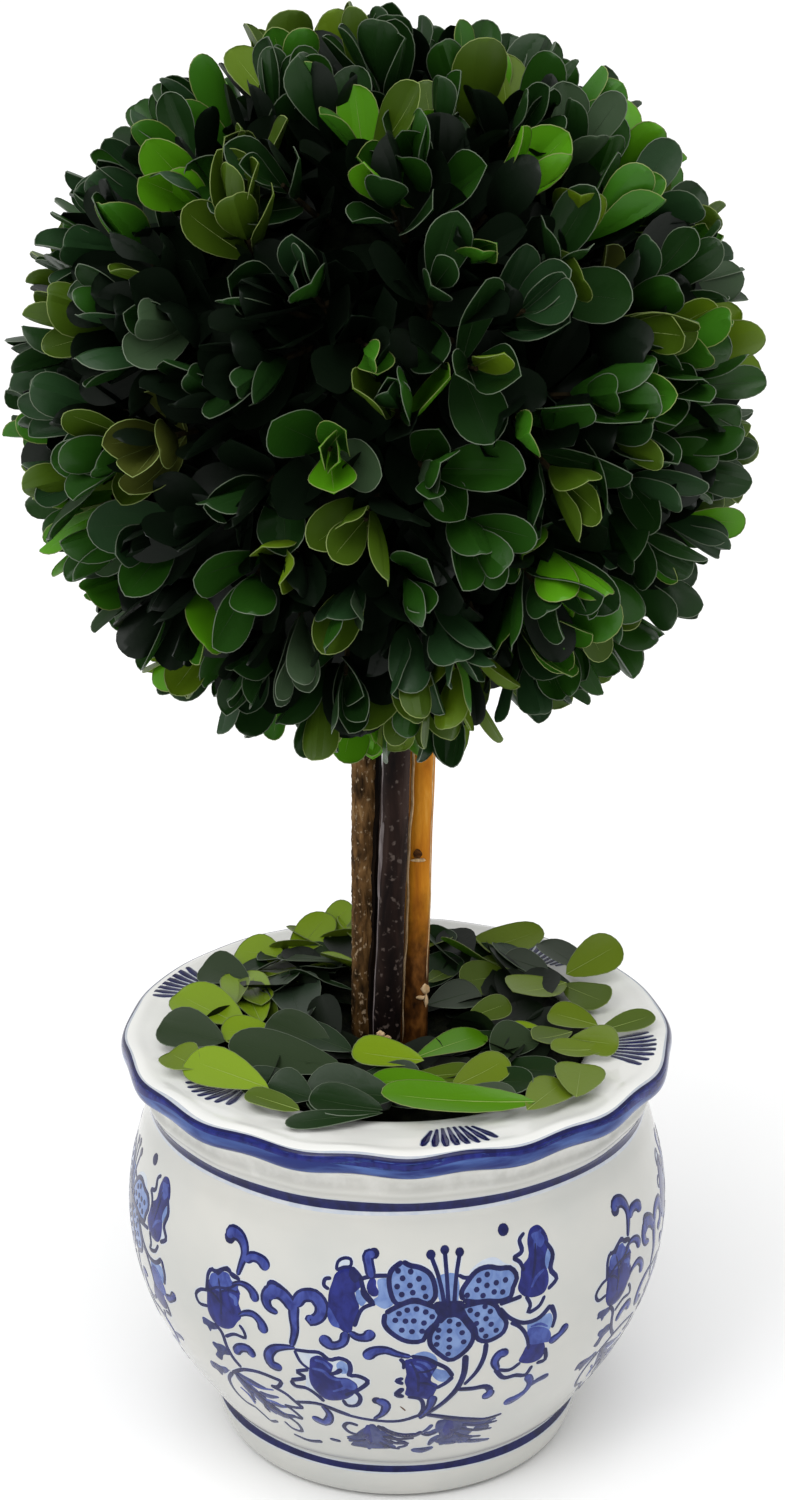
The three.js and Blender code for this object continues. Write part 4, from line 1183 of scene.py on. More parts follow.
def bark_edge(stem, bark, ends, angles, widths):
    """A thin raised strip that runs up a stem between two heights, wavering a little to each side. Its
    angle and its width go evenly from their value at the lower end to the one at the upper end."""
    height = np.linspace(*ends, EDGE_ROWS)[:, None]
    radius = stem_axis(stem, height)[1]
    waver = np.interp(height, ends, angles) + 0.06 * np.sin(height * 0.21) + 0.04 * np.sin(height * 0.57 + 1)
    from_middle = np.linspace(-1, 1, EDGE_ROWS)[:, None]
    half = np.interp(height, ends, widths) / 2 * np.sqrt(1 - from_middle**8)
    side = circle(6)
    around = waver + half * np.cos(side) / radius
    out = bark(radius, waver, height) + half * 0.7 * np.sin(side)
    return shells(round_stem(stem, out, around, height)[None])


def crumb(middle, halves, seed):
    """A small lump: a ball stretched to the given half-sizes, with a rough radius."""
    outward = ball_directions(14, 20)
    radius = 1 + 0.3 * value_noise(outward * 2.2, seed)
    return shells((np.array(middle) + outward * np.array(halves) * radius[..., None])[None])


def make_stem_details():
    """A strip of painted shadow up the left stem, the edges of the peeled bark and of the torn bark, the
    scar of a side twig, and the fibres near the foot."""
    pale = bark_finish("pale_wood", [(0.35, (0.42, 0.26, 0.12)), (0.65, (0.74, 0.54, 0.32))],
                       0.7, 900, (1, 1, 3), 0.1)
    scar = bark_finish("scar_wood", [(0.35, (0.03, 0.010, 0.003)), (0.65, (0.13, 0.05, 0.012))],
                       0.7, 900, (1, 1, 1), 0.1)
    grey = bark_finish("grey_bark_edge", [(0.35, (0.10, 0.08, 0.08)), (0.65, (0.22, 0.19, 0.19))],
                       0.6, 700, (1, 1, 4), 0.1)
    # Painted shadow: near-black bark for the strip on the left stem
    shadow = bark_finish("painted_stem_shadow", [(0.35, (0.002, 0.001, 0.001)), (0.65, (0.010, 0.005, 0.002))],
                         0.8, 500, (1, 1, 4), 0.1)
    left, middle, right = (STEMS[name] for name in STEM_LOOKS)
    # Painted shadow: a dark strip that fills the gap between the left stem and the middle one
    shadow_strip = bark_edge(left, rough_bark, (92, 200), (0.20, 1.50), (1.2, 3.2))
    torn = [
        bark_edge(middle, smooth_bark, (100, 190), (-1.15, -1.15), (0.45, 0.45)),
        bark_edge(middle, smooth_bark, (135, 154), (-1.08, -1.0), (1.1, 1.4)),
    ]
    fibres = [
        crumb((-3.7, -8.1, 102.5), (0.9, 0.6, 0.8), 7),
        crumb((-2.2, -8.2, 101.8), (0.8, 0.5, 0.5), 8),
    ]
    peel = [
        bark_edge(right, peeled_bark, (96, 226), (-1.05, -0.33), (0.8, 0.8)),
        bark_edge(right, peeled_bark, (112, 226), (1.1, 1.1), (0.4, 0.4)),
        crumb((4.9, -1.25, 142.7), (1.7, 0.45, 0.4), 1),
        crumb((6.4, -1.0, 110.5), (0.9, 0.5, 1.2), 2),
        crumb((6.6, -0.5, 107.5), (0.5, 0.6, 1.6), 3),
        crumb((5.4, -1.3, 108.5), (1.0, 0.4, 0.5), 4),
    ]
    side_twig = crumb((4.6, -1.15, 144.1), (0.9, 0.25, 1.2), 5)
    piece("stem_left_painted_shadow", shadow_strip, shadow, "stem_left")
    piece("stem_right_pale_edges", joined(peel), pale, "stem_right")
    piece("stem_right_scar", side_twig, scar, "stem_right")
    piece("stem_middle_pale_edge", joined(torn), grey, "stem_middle")
    piece("stem_middle_fibres", joined(fibres), pale, "stem_middle")


def make_stems():
    """Each stem is a round section carried up its axis, with the bark's relief added to its radius."""
    finishes = stem_finishes()
    height = np.linspace(STEM_FOOT_HEIGHT, STEM_HEAD_HEIGHT, STEM_ROWS)[:, None]
    angle = circle(STEM_COLUMNS)[None, :] - math.pi
    for name, stem in STEMS.items():
        bark, slot = STEM_LOOKS[name]
        radius = bark(stem_axis(stem, height)[1], angle, height)
        points = round_stem(stem, radius, angle, height)
        capped = np.concatenate([points[:1], points, points[-1:]])
        piece(name + "_bark", shells(capped[None]), finishes[slot], name)
    make_stem_details()


# Leaves

def blade_looks(count, random, cups, fullnesses, wave, twist):
    """Random blades: the ranges of how cupped and how full they are, and how much they wave and twist.
    A leaf's spray is its number in the set, so that the leaves of one shoot share it."""
    return {
        "cup": random.uniform(*cups, count),
        "fullness": random.uniform(*fullnesses, count),
        "wave": random.normal(0, wave, count),
        "twist": random.normal(0, twist, count),
        "spray": np.arange(count),
    }


def leaf_points(leaves, along_share, across, lift=0.0):
    """Points of each leaf. Its middle line is an arc from the root that bends towards the upper face. Its
    half-width is a power of the share along times the root of one minus another power, its edges stand
    up by the square of the distance across, a slow wave runs along them, and the blade twists evenly."""
    share = along_share[None]
    column = {key: leaves[key][:, None, None] for key in LEAF_NUMBERS}
    along, up = leaves["along"][:, None, None], leaves["up"][:, None, None]
    bend = column["curl"] * share
    forward = column["length"] * np.sin(bend) / column["curl"]
    rise = column["length"] * (1 - np.cos(bend)) / column["curl"]
    normal = up * np.cos(bend)[..., None] - along * np.sin(bend)[..., None]
    heading = along * np.cos(bend)[..., None] + up * np.sin(bend)[..., None]
    normal = turned(normal, heading, column["twist"] * share)
    side = np.cross(heading, normal)
    outline = share ** column["fullness"] * np.sqrt(np.clip(1 - share**TIP_POWER, 0, 1)) / WIDEST
    half = column["width"] / 2 * outline
    stand = column["cup"] * half * across**2 + lift
    stand = stand + 0.35 * column["wave"] * across**3 * np.sin(share * 7 + column["wave"] * 9) * outline
    points = (leaves["root"][:, None, None] + along * forward[..., None] + up * rise[..., None]
              + side * (half * across)[..., None] + normal * stand[..., None])
    return points, side, normal, heading


def leaf_blades(leaves):
    """Blades as thin closed lenses: five points across the upper face and one under the middle."""
    across = np.array([[-1, -0.55, 0, 0.55, 1, 0]])
    under = np.array([[0, 0.05, 0.03, 0.05, 0, -0.32]])
    return shells(leaf_points(leaves, LEAF_SHARES[:, None], across, under)[0])


def leaf_rims(leaves):
    """The pale rolled edge, partly the leaf's own paler margin and partly a painted highlight for the light
    it catches: a three-sided thread that goes round each blade from its root to its root.
    """
    share = np.concatenate([LEAF_SHARES, LEAF_SHARES[-2::-1]])[:, None]
    across = np.where(np.arange(len(share)) < len(LEAF_SHARES), -1.0, 1.0)[:, None]
    points, side, normal, heading = leaf_points(leaves, share, across)
    tip = (share**6)[None, ..., None] * math.pi / 2
    outward = side * across[None, ..., None] * np.cos(tip) + heading * np.sin(tip)
    corner = circle(3)[:, None]
    radius = RIM_RADIUS_OF_LEAF * np.clip(0.35 + share * 2, 0, 1)[None, ..., None]
    return shells(points + (outward * np.cos(corner) + normal * np.sin(corner)) * radius)


def leaf_ribs(leaves):
    """The midrib: a three-sided thread on the upper face that thins out towards the tip."""
    share = RIB_SHARES[:, None]
    points, side, normal, _ = leaf_points(leaves, share, 0.0, 0.02)
    corner = circle(3)[:, None]
    radius = (RIB_RADIUS_OF_LEAF * (1.1 - share))[None, ..., None]
    return shells(points + (normal * np.cos(corner) + side * np.sin(corner)) * radius)


def chosen(leaves, mask):
    """The leaves for which the mask is true."""
    return {key: values[mask] for key, values in leaves.items()}


def outline_points(leaves, shares):
    """Points on the middle line and on both edges of each leaf, at the given shares along it."""
    points = leaf_points(leaves, np.array(shares)[:, None], np.array([[-1.0, 0.0, 1.0]]))[0]
    return points.reshape(len(points), -1, 3)


def clear_of_stems(leaves):
    """True for each leaf whose points all keep clear of the three stems."""
    points = outline_points(leaves, [0, 0.3, 0.6, 0.85, 1])
    clear = np.ones(len(points), bool)
    for stem in STEMS.values():
        places, radius = stem_axis(stem, points[..., 2])
        gap = np.linalg.norm(points[..., :2] - places, axis=-1) - radius
        clear &= np.all((gap > STEM_MARGIN) | (points[..., 2] > STEM_HEAD_HEIGHT + 1), axis=1)
    return clear


def within_reach(leaves):
    """True for each leaf of the crown whose tip and edges stay inside the crown's reach."""
    points = outline_points(leaves, [0.6, 0.8, 1])
    return np.linalg.norm(points - CROWN_CENTRE, axis=-1).max(axis=1) < CROWN_REACH


# Crown

def even_directions(count):
    """Directions that cover the sphere evenly: equal steps in height, each turned by the golden angle."""
    index = np.arange(count)
    height = 1 - 2 * (index + 0.5) / count
    angle = index * math.pi * (3 - math.sqrt(5))
    radius = np.sqrt(1 - height**2)
    return spread(radius * np.cos(angle), radius * np.sin(angle), height)


def forked_twigs(branch, others, random):
    """The two twigs of a branch lean away from each other, turned to where most room is left."""
    angles = random.uniform(0, math.pi) + np.arange(FORK_TURNS) * math.pi / FORK_TURNS
    aside = turned(crosswise(branch), branch, angles)
    pairs = unit(branch + np.array([-1, 1])[None, :, None] * math.tan(FORK_SPREAD) * aside[:, None])
    if not others:
        return pairs[0]
    closeness = np.max(pairs @ np.array(others).T, axis=(1, 2))
    return pairs[np.argmin(closeness)]


def twig_directions(random):
    """Two twigs for each of the evenly spread branches."""
    twigs = []
    for branch in even_directions(BRANCHES):
        twigs.extend(forked_twigs(branch, twigs, random))
    return np.array(twigs)


def limb_tubes(paths, radii):
    """Five-sided tubes along many paths at once: paths[limb, row], with one radius for each row."""
    headings = unit(np.gradient(paths, axis=1))
    across = crosswise(headings)
    upward = np.cross(headings, across)
    corner = circle(5)[:, None]
    section = across[:, :, None] * np.cos(corner) + upward[:, :, None] * np.sin(corner)
    rings = paths[:, :, None] + section * np.asarray(radii)[:, None, None]
    ends = [np.repeat(paths[:, [row], None], len(corner), axis=2) for row in (0, -1)]
    return shells(np.concatenate([ends[0], rings, ends[1]], axis=1))


def shoot_paths(twigs, random):
    """Shoots leave the nearest twig inside the core and bend out to an even spread of places, along a
    quadratic curve."""
    directions = unit(even_directions(SHOOTS) + random.normal(0, 0.035, (SHOOTS, 3)))
    nearest = twigs[np.argmax(directions @ twigs.T, axis=1)]
    reach = SHOOT_REACH * random.uniform(0.965, 1.03, SHOOTS)[:, None]
    feet = (nearest * SHOOT_FOOT)[:, None]
    knees = (unit(nearest + 2 * directions) * SHOOT_KNEE)[:, None]
    tips = (directions * reach)[:, None]
    share = np.linspace(0, 1, 6)[None, :, None]
    return CROWN_CENTRE + ((1 - share) ** 2 * feet + 2 * share * (1 - share) * knees + share**2 * tips)


def pair_of_leaves(feet, tips, pair, number, turns, random):
    """Two opposite leaves on each shoot, square to the pair below, with their upper faces to its tip."""
    count = len(feet)
    headings = unit(tips - feet)
    sets = []
    for side in range(2):
        angle = turns + number * math.pi / 2 + side * math.pi + random.normal(0, 0.3, count)
        out = turned(crosswise(headings), headings, angle)
        opening = (pair["opening"] * random.uniform(0.65, 1.3, count))[:, None]
        along = headings * np.cos(opening) + out * np.sin(opening)
        up = unit(headings - along * np.sum(headings * along, axis=1, keepdims=True))
        up = turned(up, along, random.normal(0, 0.4, count))
        length = pair["size"] * random.uniform(0.84, 1.12, count)
        place = pair["place"] + random.uniform(-0.04, 0.06, (count, 1))
        sets.append({
            "root": feet + (tips - feet) * place + out * 0.4,
            "along": along,
            "up": up,
            "length": length,
            "width": length / random.uniform(1.65, 2.15, count),
            "curl": np.abs(random.normal(0.25, 0.3, count)) + 0.02,
            **blade_looks(count, random, (0.15, 0.6), (0.52, 0.85), 0.8, 0.35),
            "pair": np.full(count, number),
        })
    return sets


def joined_leaves(sets):
    """One set of leaves from several."""
    return {key: np.concatenate([leaves[key] for leaves in sets]) for key in sets[0]}


def tint(color, roughness, share, trim):
    """A leaf's looks, its share of the sprays, and which rims and ribs it has."""
    return {"color": color, "roughness": roughness, "share": share, "trim": trim}


CROWN_TINTS = {
    "deep_green": tint((0.008, 0.030, 0.005), 0.36, 0.24, "dark"),
    "forest_green": tint((0.012, 0.052, 0.004), 0.36, 0.23, "dark"),
    "blue_green": tint((0.014, 0.042, 0.013), 0.40, 0.09, "dark"),
    "grey_green": tint((0.034, 0.062, 0.028), 0.48, 0.04, "dark"),
    "mid_green": tint((0.030, 0.125, 0.006), 0.36, 0.14, "bright"),
    "moss_green": tint((0.042, 0.082, 0.004), 0.40, 0.10, "bright"),
    "fresh_green": tint((0.075, 0.250, 0.005), 0.36, 0.07, "bright"),
    "olive_green": tint((0.095, 0.165, 0.005), 0.42, 0.07, "bright"),
    "brown_green": tint((0.050, 0.062, 0.008), 0.50, 0.02, "bright"),
    # Painted shade: a near-black tint for leaves that stand in for the shade deep in the ball
    "shade_green": tint((0.002, 0.006, 0.002), 0.45, 0.0, "none"),
}

BED_TINTS = {
    "lime_green": tint((0.185, 0.290, 0.010), 0.36, 0.09, "bright"),
    "vivid_green": tint((0.070, 0.200, 0.003), 0.36, 0.06, "bright"),
    "olive_green": tint((0.120, 0.180, 0.009), 0.40, 0.15, "bright"),
    "moss_green": tint((0.066, 0.108, 0.007), 0.40, 0.18, "bright"),
    "slate_green": tint((0.024, 0.042, 0.016), 0.45, 0.17, "dark"),
    "bottle_green": tint((0.009, 0.026, 0.006), 0.38, 0.26, "dark"),
    "teal_green": tint((0.027, 0.045, 0.026), 0.45, 0.05, "dark"),
    "ash_green": tint((0.045, 0.058, 0.040), 0.55, 0.04, "dark"),
    # Painted shade: a near-black tint for leaves that stand in for the shade under the top leaves
    "shade_green": tint((0.003, 0.007, 0.002), 0.45, 0.0, "none"),
}

# Share of the bed's uncovered inner leaves painted in shade with the near-black tint
BED_SHADE = 0.45
# Shares of each pair's leaves painted in shade with the near-black tint, from the foot of the shoots to
# their tips
SHADED_SHARES = [1.0, 0.85, 0.42, 0.03, 0.0]
# What is added to those shares left of the middle of the front, where more painted shade makes the ball
# darkest
GLOOM = 0.28

# Rims are partly the leaves' paler edges and partly a painted highlight where the edges catch the light
RIM_COLORS = {"bright": (0.170, 0.220, 0.065), "dark": (0.105, 0.135, 0.090)}
RIB_COLORS = {"bright": (0.300, 0.380, 0.120), "dark": (0.045, 0.070, 0.034)}
TRIM_ROUGHNESS = 0.45


def dealt_tints(leaves, tints, strays, random):
    """A tint number for each leaf: one for each spray, and a share of strays with their own."""
    shares = [look["share"] for look in tints.values()]
    sprays = random.choice(len(tints), leaves["spray"].max() + 1, p=shares)
    own = random.choice(len(tints), len(leaves["spray"]), p=shares)
    return np.where(random.uniform(size=len(own)) < strays, own, sprays[leaves["spray"]])


def make_leaf_pieces(name, leaves, dealt, tints, node):
    """The blades go into one piece for each tint. The rims and the ribs go into one piece each for the
    bright tints and for the dark ones, and the leaves painted in shade have none."""
    for number, (green, look) in enumerate(tints.items()):
        material = leaf_finish(name + "_" + green, look["color"], look["roughness"])
        piece(name + "_leaves_" + green, leaf_blades(chosen(leaves, dealt == number)), material, node)
    trims = np.array([look["trim"] for look in tints.values()])[dealt]
    for trim in RIM_COLORS:
        group = chosen(leaves, trims == trim)
        rim = leaf_finish(name + "_rim_" + trim, RIM_COLORS[trim], TRIM_ROUGHNESS)
        rib = leaf_finish(name + "_rib_" + trim, RIB_COLORS[trim], TRIM_ROUGHNESS)
        piece(name + "_leaf_rims_" + trim, leaf_rims(group), rim, node)
        piece(name + "_leaf_ribs_" + trim, leaf_ribs(group), rib, node)


def make_core():
    """A ball with a lumpy radius inside the crown, painted near black as shadow."""
    outward = ball_directions(40, 72)
    radius = CORE_RADIUS + 2.0 * value_noise(outward * 9, 21) + 1.0 * value_noise(outward * 22, 22)
    # Painted shadow: near black so that the gaps between the leaves read as deep shade
    material = rough_finish(
        finish("crown_shadow", (0.002, 0.004, 0.002), 0.9, Specular_IOR_Level=0.05),
        patches=500, dark=(0.001, 0.002, 0.001), pale=(0.006, 0.009, 0.004),
        bumps=700, strength=0.8, depth=0.8)
    points = CROWN_CENTRE + outward * radius[..., None]
    return piece("crown_core", shells(points[None]), material, "crown")


def shaded_shares(leaves):
    """How likely each leaf is to be painted in shade: by its pair, and more in the gloomy part in front."""
    x, y, z = unit(leaves["root"] - CROWN_CENTRE).T
    gloomy = (y < -0.3) & (np.abs(x + 0.35) < 0.4) & (np.abs(z) < 0.6)
    return np.array(SHADED_SHARES)[leaves["pair"]] + GLOOM * gloomy


def make_crown():
    """Branches fork into twigs, each shoot leaves its nearest twig, and pairs of leaves stand on it."""
    random = np.random.default_rng(CROWN_SEED)
    twigs = twig_directions(random)
    shoots = shoot_paths(twigs, random)
    share = np.linspace(0, 1, 4)[None, :, None]
    limbs = CROWN_CENTRE + twigs[:, None] * (TWIG_START + share * (TWIG_REACH - TWIG_START))
    wood = bark_finish("twig_bark", [(0.35, (0.010, 0.008, 0.004)), (0.65, (0.050, 0.036, 0.016))],
                       0.8, 400, (1, 1, 1), 0.2)
    tubes = [limb_tubes(limbs, (1.5, 1.3, 1.1, 0.8)), limb_tubes(shoots, (0.9, 0.85, 0.8, 0.7, 0.6, 0.5))]
    piece("crown_twigs", joined(tubes), wood, "crown")
    turns = random.uniform(0, TURN, SHOOTS)
    sets = []
    for number, pair in enumerate(PAIRS):
        sets += pair_of_leaves(shoots[:, 2], shoots[:, -1], pair, number, turns, random)
    leaves = joined_leaves(sets)
    leaves = chosen(leaves, within_reach(leaves) & clear_of_stems(leaves))
    dealt = dealt_tints(leaves, CROWN_TINTS, STRAYS, random)
    # Painted shade: these leaves get the near-black shade tint
    shaded = random.uniform(size=len(dealt)) < shaded_shares(leaves)
    dealt[shaded] = list(CROWN_TINTS).index("shade_green")
    make_leaf_pieces("crown", leaves, dealt, CROWN_TINTS, "crown")
    make_core()


# Leaf bed

# Leaves seen on the bed: tint, root [x, y, z], tip [x, y, z] and width
BED_LEAVES = [
    ("vivid", (30, -44, 103.9), (-4, -46, 103.6), 10),
    ("olive", (28, -47, 103.4), (37, -32, 103.2), 11),
    ("olive", (39, -41, 103.4), (41, -25, 103.3), 12),
    ("moss", (46, -7, 102.7), (59, 0, 102.9), 7),
    ("olive", (40, 21, 104.0), (53, 26, 109.5), 11),
    ("ash", (36, 25, 103.3), (26, 31, 103.2), 9),
    ("ash", (46, 25, 102.9), (35, 39, 102.9), 9),
    ("olive", (13, 33, 103.1), (35, 44, 102.9), 11),
    ("moss", (29, 22, 103.7), (15, 15, 104.9), 11),
    ("olive", (40, 18, 103.3), (26, 4, 104.9), 13),
    ("moss", (39, 18, 102.7), (49, 7, 102.9), 10),
    ("olive", (46, -5, 103.2), (35, 0, 104.3), 9),
    ("moss", (16, -2, 103.6), (26, 4, 104.4), 7),
    ("lime", (33, -9, 104.0), (25, -8, 104.4), 5),
    ("slate", (32, -16, 104.0), (21, -14, 104.3), 11),
    ("olive", (39, -13, 103.7), (50, -15, 103.4), 9),
    ("moss", (40, -8, 103.1), (30, -17, 104.0), 7),
    ("olive", (47, -15, 102.3), (34, -20, 103.0), 7),
    ("vivid", (4, -24, 104.4), (20, -10, 104.7), 9),
    ("lime", (6, -26, 104.8), (-10, -23, 104.7), 11),
    ("vivid", (11, -36, 104.5), (-6, -35, 104.7), 8),
    ("olive", (12, -37, 103.9), (24, -27, 104.1), 9),
    ("bottle", (0, -42, 104.0), (-20, -38, 103.8), 14),
    ("bottle", (-3, -46, 102.9), (-19, -42, 102.8), 10),
    ("bottle", (-18, -41, 103.0), (-28, -35, 102.8), 11),
    ("slate", (-12, -30, 104.9), (-37, -19, 103.8), 12),
    ("slate", (-15, -17, 104.1), (-29, -8, 104.3), 11),
    ("bottle", (-10, -21, 104.5), (-25, -9, 104.9), 10),
    ("lime", (-28, -38, 104.0), (-47, -24, 104.6), 12),
    ("olive", (-44, -27, 103.4), (-51, -20, 103.4), 11),
    ("moss", (-21, -46, 102.8), (-33, -38, 102.8), 6),
    ("bottle", (-3, -47, 102.7), (-24, -51, 102.9), 5),
    ("slate", (-39, -14, 103.5), (-54, -7, 103.4), 13),
    ("lime", (-35, -7, 104.3), (-51, 8, 103.4), 13),
    ("lime", (-31, -6, 104.2), (-38, 25, 102.9), 12),
    ("lime", (-29, -9, 104.3), (-40, -9, 103.1), 10),
    ("slate", (-35, 20, 102.6), (-47, 29, 102.9), 11),
    ("lime", (-27, 33, 102.8), (-39, 38, 102.9), 11),
    ("lime", (-26, 31, 103.5), (-17, 47, 106.0), 10),
    ("teal", (-22, -7, 104.8), (-26, 24, 103.8), 14),
    ("lime", (-19, 44, 103.3), (-11, 47, 110.5), 9),
    ("slate", (-11, 33, 103.1), (-24, 32, 102.6), 11),
    ("bottle", (8, 33, 104.0), (12, 38, 108.5), 9),
    ("moss", (7, 16, 104.3), (16, 29, 103.5), 7),
    ("ash", (7, 6, 103.1), (19, 12, 104.4), 11),
    ("bottle", (14, -31, 102.8), (30, -35, 102.8), 9),
    ("bottle", (22, -22, 101.8), (36, -28, 101.8), 8),
    ("slate", (10, -41, 102.4), (26, -40, 102.4), 8),
    ("moss", (2, -29, 102.2), (17, -28, 102.2), 7),
    ("bottle", (-10, -31, 102.0), (5, -29, 102.0), 8),
    ("slate", (-6, -37, 101.4), (10, -40, 101.4), 8),
    ("bottle", (-20, -30, 101.8), (-35, -33, 101.8), 9),
    ("bottle", (9, -10, 100.8), (25, -14, 101.6), 9),
    ("bottle", (-13, -9, 101.6), (-30, -17, 102.8), 9),
]


def mound_height(radius):
    """It swells by a sine between the mouth's edge and a hollow at the stems."""
    share = np.clip(radius / BED_EDGE_RADIUS, 0, 1)
    return BED_EDGE_HEIGHT + BED_SWELL * np.sin(share * math.pi) - BED_HOLLOW * (1 - share) ** 2


def leaning_up(along, lean):
    """Directions for the leaves' upper faces: the lean, made square to where each leaf points."""
    return unit(lean - along * np.sum(along * lean, axis=1, keepdims=True))


def bed_ring(ring, random):
    """Leaves of a ring lie in a loose swirl with their roots in the mound."""
    count = ring["count"]
    low, high = ring["arc"]
    angle = low + (high - low) * (np.arange(count) + random.uniform(0.1, 0.9, count)) / count
    radius = ring["radius"] * random.uniform(0.94, 1.06, count)
    swirl = angle + ring["lie"] + random.normal(0, ring["loose"], count)
    rise = ring["rise"] + random.uniform(-0.08, 0.14, count)
    level = polar(1.0, swirl, 0.0)
    upright = np.array([[0.0, 0.0, 1.0]])
    along = level * np.cos(rise)[:, None] + upright * np.sin(rise)[:, None]
    up = leaning_up(along, upright + 0.3 * polar(1.0, angle, 0.0))
    length = random.uniform(16, 22, count)
    foot = polar(radius, angle, 0.0)[:, :2] - level[:, :2] * length[:, None] * 0.45
    height = mound_height(np.linalg.norm(foot, axis=1)) + ring["lift"]
    return {
        "root": np.column_stack([foot, height]),
        "along": along,
        "up": turned(up, along, random.normal(0, 0.2, count)),
        "length": length,
        "width": length / random.uniform(1.6, 2.1, count),
        "curl": random.uniform(-0.15, 0.35, count) + 0.01,
        **blade_looks(count, random, (0.1, 0.4), (0.6, 0.85), 0.8, 0.18),
    }


def placed_leaves(random):
    """The leaves of the list. They lean to the front like shingles, each turned a little on its own."""
    count = len(BED_LEAVES)
    roots = np.array([row[1] for row in BED_LEAVES], float)
    tips = np.array([row[2] for row in BED_LEAVES], float)
    along = unit(tips - roots)
    up = leaning_up(along, unit(np.array([[0.0, -0.45, 1.0]])))
    return {
        "root": roots,
        "along": along,
        "up": turned(up, along, random.normal(0, 0.10, count)),
        "length": np.linalg.norm(tips - roots, axis=1),
        "width": np.array([row[3] for row in BED_LEAVES], float),
        "curl": random.uniform(-0.15, 0.3, count) + 0.01,
        **blade_looks(count, random, (0.08, 0.3), (0.6, 0.8), 0.7, 0.12),
    }


def lifted_off_flange(leaves):
    """Raises each leaf until its lowest points clear the flange and the mound."""
    points = outline_points(leaves, np.linspace(0, 1, 6))
    radius = np.linalg.norm(points[..., :2], axis=-1)
    on_mound = radius <= BED_EDGE_RADIUS
    ground = np.where(on_mound, mound_height(radius) - SHADOW_MOUND_DROP, flange_height(radius) + FLANGE_GAP)
    leaves["root"][:, 2] += np.maximum(np.max(ground - points[..., 2], axis=1), 0)
    return leaves


def within_bed(leaves):
    """True for each leaf that stays inside the bed's reach."""
    points = outline_points(leaves, np.linspace(0, 1, 6))
    return np.linalg.norm(points[..., :2], axis=-1).max(axis=1) < BED_REACH


def make_mound():
    """A dark mound of painted shadow under the loose leaves, lumpy on top and flat below."""
    floor = [0.0, BED_EDGE_RADIUS - 0.6]
    rows = np.concatenate([floor, np.linspace(1, 0, 26) * BED_EDGE_RADIUS])
    place = polar(rows[:, None], circle(120)[None, :], 0.0)
    lumps = 0.9 * value_noise(place * 0.28, 31) + 0.5 * value_noise(place * 0.7, 32)
    inner = (rows < BED_EDGE_RADIUS - 0.5)[:, None]
    top = mound_height(rows)[:, None] - SHADOW_MOUND_DROP + lumps * inner
    place[..., 2] = np.where(np.arange(len(rows))[:, None] < len(floor), BED_FLOOR, top)
    # Painted shadow: near black so that the gaps between the bed's leaves read as deep shade
    material = rough_finish(
        finish("bed_shadow", (0.010, 0.012, 0.006), 0.9, Specular_IOR_Level=0.1),
        patches=350, dark=(0.001, 0.002, 0.001), pale=(0.010, 0.011, 0.005),
        bumps=500, strength=0.9, depth=1.0)
    return piece("bed_mound", shells(place[None]), material, "leaf_bed")


def loose_leaves(random):
    """Rings of loose leaves over the mound, and the tint of each. Those under the listed leaves lie low
    and are painted in shade, or are left out where they would lie on the flange. Some other inner ones
    are painted in shade too."""
    leaves = joined_leaves([bed_ring(ring, random) for ring in BED_RINGS])
    # Each loose leaf is a spray of its own
    leaves["spray"] = np.arange(len(leaves["spray"]))
    leaves = lifted_off_flange(leaves)
    inner = np.linalg.norm(leaves["root"][:, :2], axis=1) < HEAP_RADIUS
    covered = leaves["root"][:, 1] < COVERED_TO
    leaves["root"][covered, 2] -= COVER_DEPTH
    dealt = dealt_tints(leaves, BED_TINTS, 0.0, random)
    # Painted shade: the covered leaves and a share of the inner ones get the near-black shade tint
    shaded = covered | (inner & (random.uniform(size=len(dealt)) < BED_SHADE))
    dealt[shaded] = list(BED_TINTS).index("shade_green")
    kept = inner | ~covered
    return chosen(leaves, kept), dealt[kept]


def make_bed():
    """Loose leaves over the mound, and the listed leaves on top of them."""
    random = np.random.default_rng(BED_SEED)
    loose, tints = loose_leaves(random)
    listed = np.array([list(BED_TINTS).index(row[0] + "_green") for row in BED_LEAVES])
    leaves = joined_leaves([loose, lifted_off_flange(placed_leaves(random))])
    dealt = np.concatenate([tints, listed])
    kept = within_bed(leaves) & clear_of_stems(leaves)
    make_leaf_pieces("bed", chosen(leaves, kept), dealt[kept], BED_TINTS, "leaf_bed")
    make_mound()


def dress_fill():
    """The cast plaster that holds the stems, which stays as the frame gives it."""
    material = rough_finish(
        finish("cast_plaster", (0.3, 0.3, 0.26), 0.9),
        patches=160, dark=(0.22, 0.21, 0.18), pale=(0.40, 0.39, 0.34),
        bumps=420, strength=0.7, depth=0.6, details=(8.0, 6.0))
    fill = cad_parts["pot_fill"]
    fill.data.materials.clear()
    fill.data.materials.append(material)


# Studio

FLOOR_HALF = 15
SURROUND_STRENGTH = 0.76
SUN_STRENGTH = 1.75
SUN_WIDTH = math.radians(55)
SUN_PLACE = (-0.12, -0.5, 1.2)
SOFT_BOX_POWER = 3
SOFT_BOX_SIZE = (0.35, 0.5)
SOFT_BOX_PLACE = (-0.55, -0.9, 1.0)
SOFT_BOX_AIM = (0, 0, 0.12)
# The camera, as fitted to the circles of the pot in the photo, with its pitch in degrees
CAMERA_PLACE = (0, -0.6256, 0.4045)
CAMERA_PITCH = 20.65
LENS = 72
SENSOR_WIDTH = 36
CAMERA_SHIFT = -0.0031


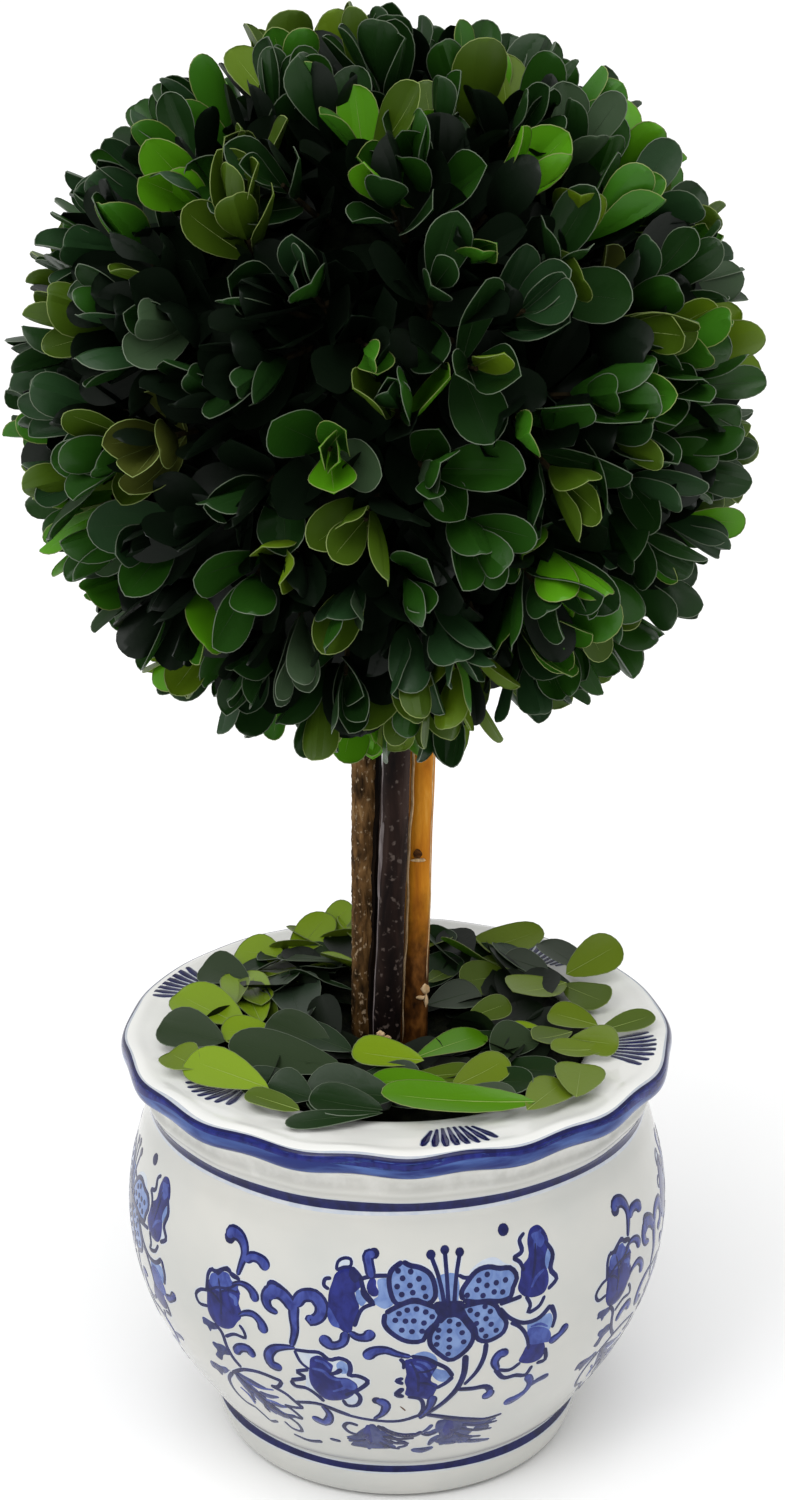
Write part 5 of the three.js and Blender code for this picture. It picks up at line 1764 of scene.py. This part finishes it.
def add_light(name, kind, place, aim, power):
    """A light that looks from its place towards the aim."""
    data = bpy.data.lights.new(name, kind)
    data.energy = power
    light = bpy.data.objects.new(name, data)
    bpy.context.scene.collection.objects.link(light)
    light.location = place
    heading = np.array(aim) - np.array(place)
    flat = math.hypot(heading[0], heading[1])
    light.rotation_euler = (math.atan2(flat, -heading[2]), 0, math.atan2(-heading[0], heading[1]))
    return data


def make_studio():
    """A wide pale floor, an even pale surround, a very broad sun and a soft box for the glints."""
    corners = [(x * FLOOR_HALF, y * FLOOR_HALF, 0) for x, y in ((-1, -1), (1, -1), (1, 1), (-1, 1))]
    floor_mesh = bpy.data.meshes.new("floor")
    floor_mesh.from_pydata(corners, [], [(0, 1, 2, 3)])
    floor_mesh.materials.append(finish("floor_paper", (0.9, 0.9, 0.9), 0.9, Specular_IOR_Level=0.1))
    floor = bpy.data.objects.new("floor", floor_mesh)
    bpy.context.scene.collection.objects.link(floor)
    world = bpy.data.worlds.new("surround")
    bpy.context.scene.world = world
    world.use_nodes = True
    background = world.node_tree.nodes["Background"]
    background.inputs["Color"].default_value = (1, 1, 1, 1)
    background.inputs["Strength"].default_value = SURROUND_STRENGTH
    sun = add_light("broad_sun", "SUN", SUN_PLACE, (0, 0, 0), SUN_STRENGTH)
    sun.angle = SUN_WIDTH
    box = add_light("soft_box", "AREA", SOFT_BOX_PLACE, SOFT_BOX_AIM, SOFT_BOX_POWER)
    box.shape = "RECTANGLE"
    box.size, box.size_y = SOFT_BOX_SIZE


def make_camera():
    """The photo's view: its pitch, distance and long lens."""
    data = bpy.data.cameras.new("camera")
    data.lens = LENS
    data.sensor_width = SENSOR_WIDTH
    data.shift_x = CAMERA_SHIFT
    camera = bpy.data.objects.new("camera", data)
    bpy.context.scene.collection.objects.link(camera)
    camera.location = CAMERA_PLACE
    camera.rotation_euler = (math.radians(90 - CAMERA_PITCH), 0, 0)
    bpy.context.scene.camera = camera
    bpy.context.scene.view_settings.view_transform = "Standard"


make_camera()
make_studio()
make_pot()
make_painting()
make_stems()
make_crown()
make_bed()
dress_fill()
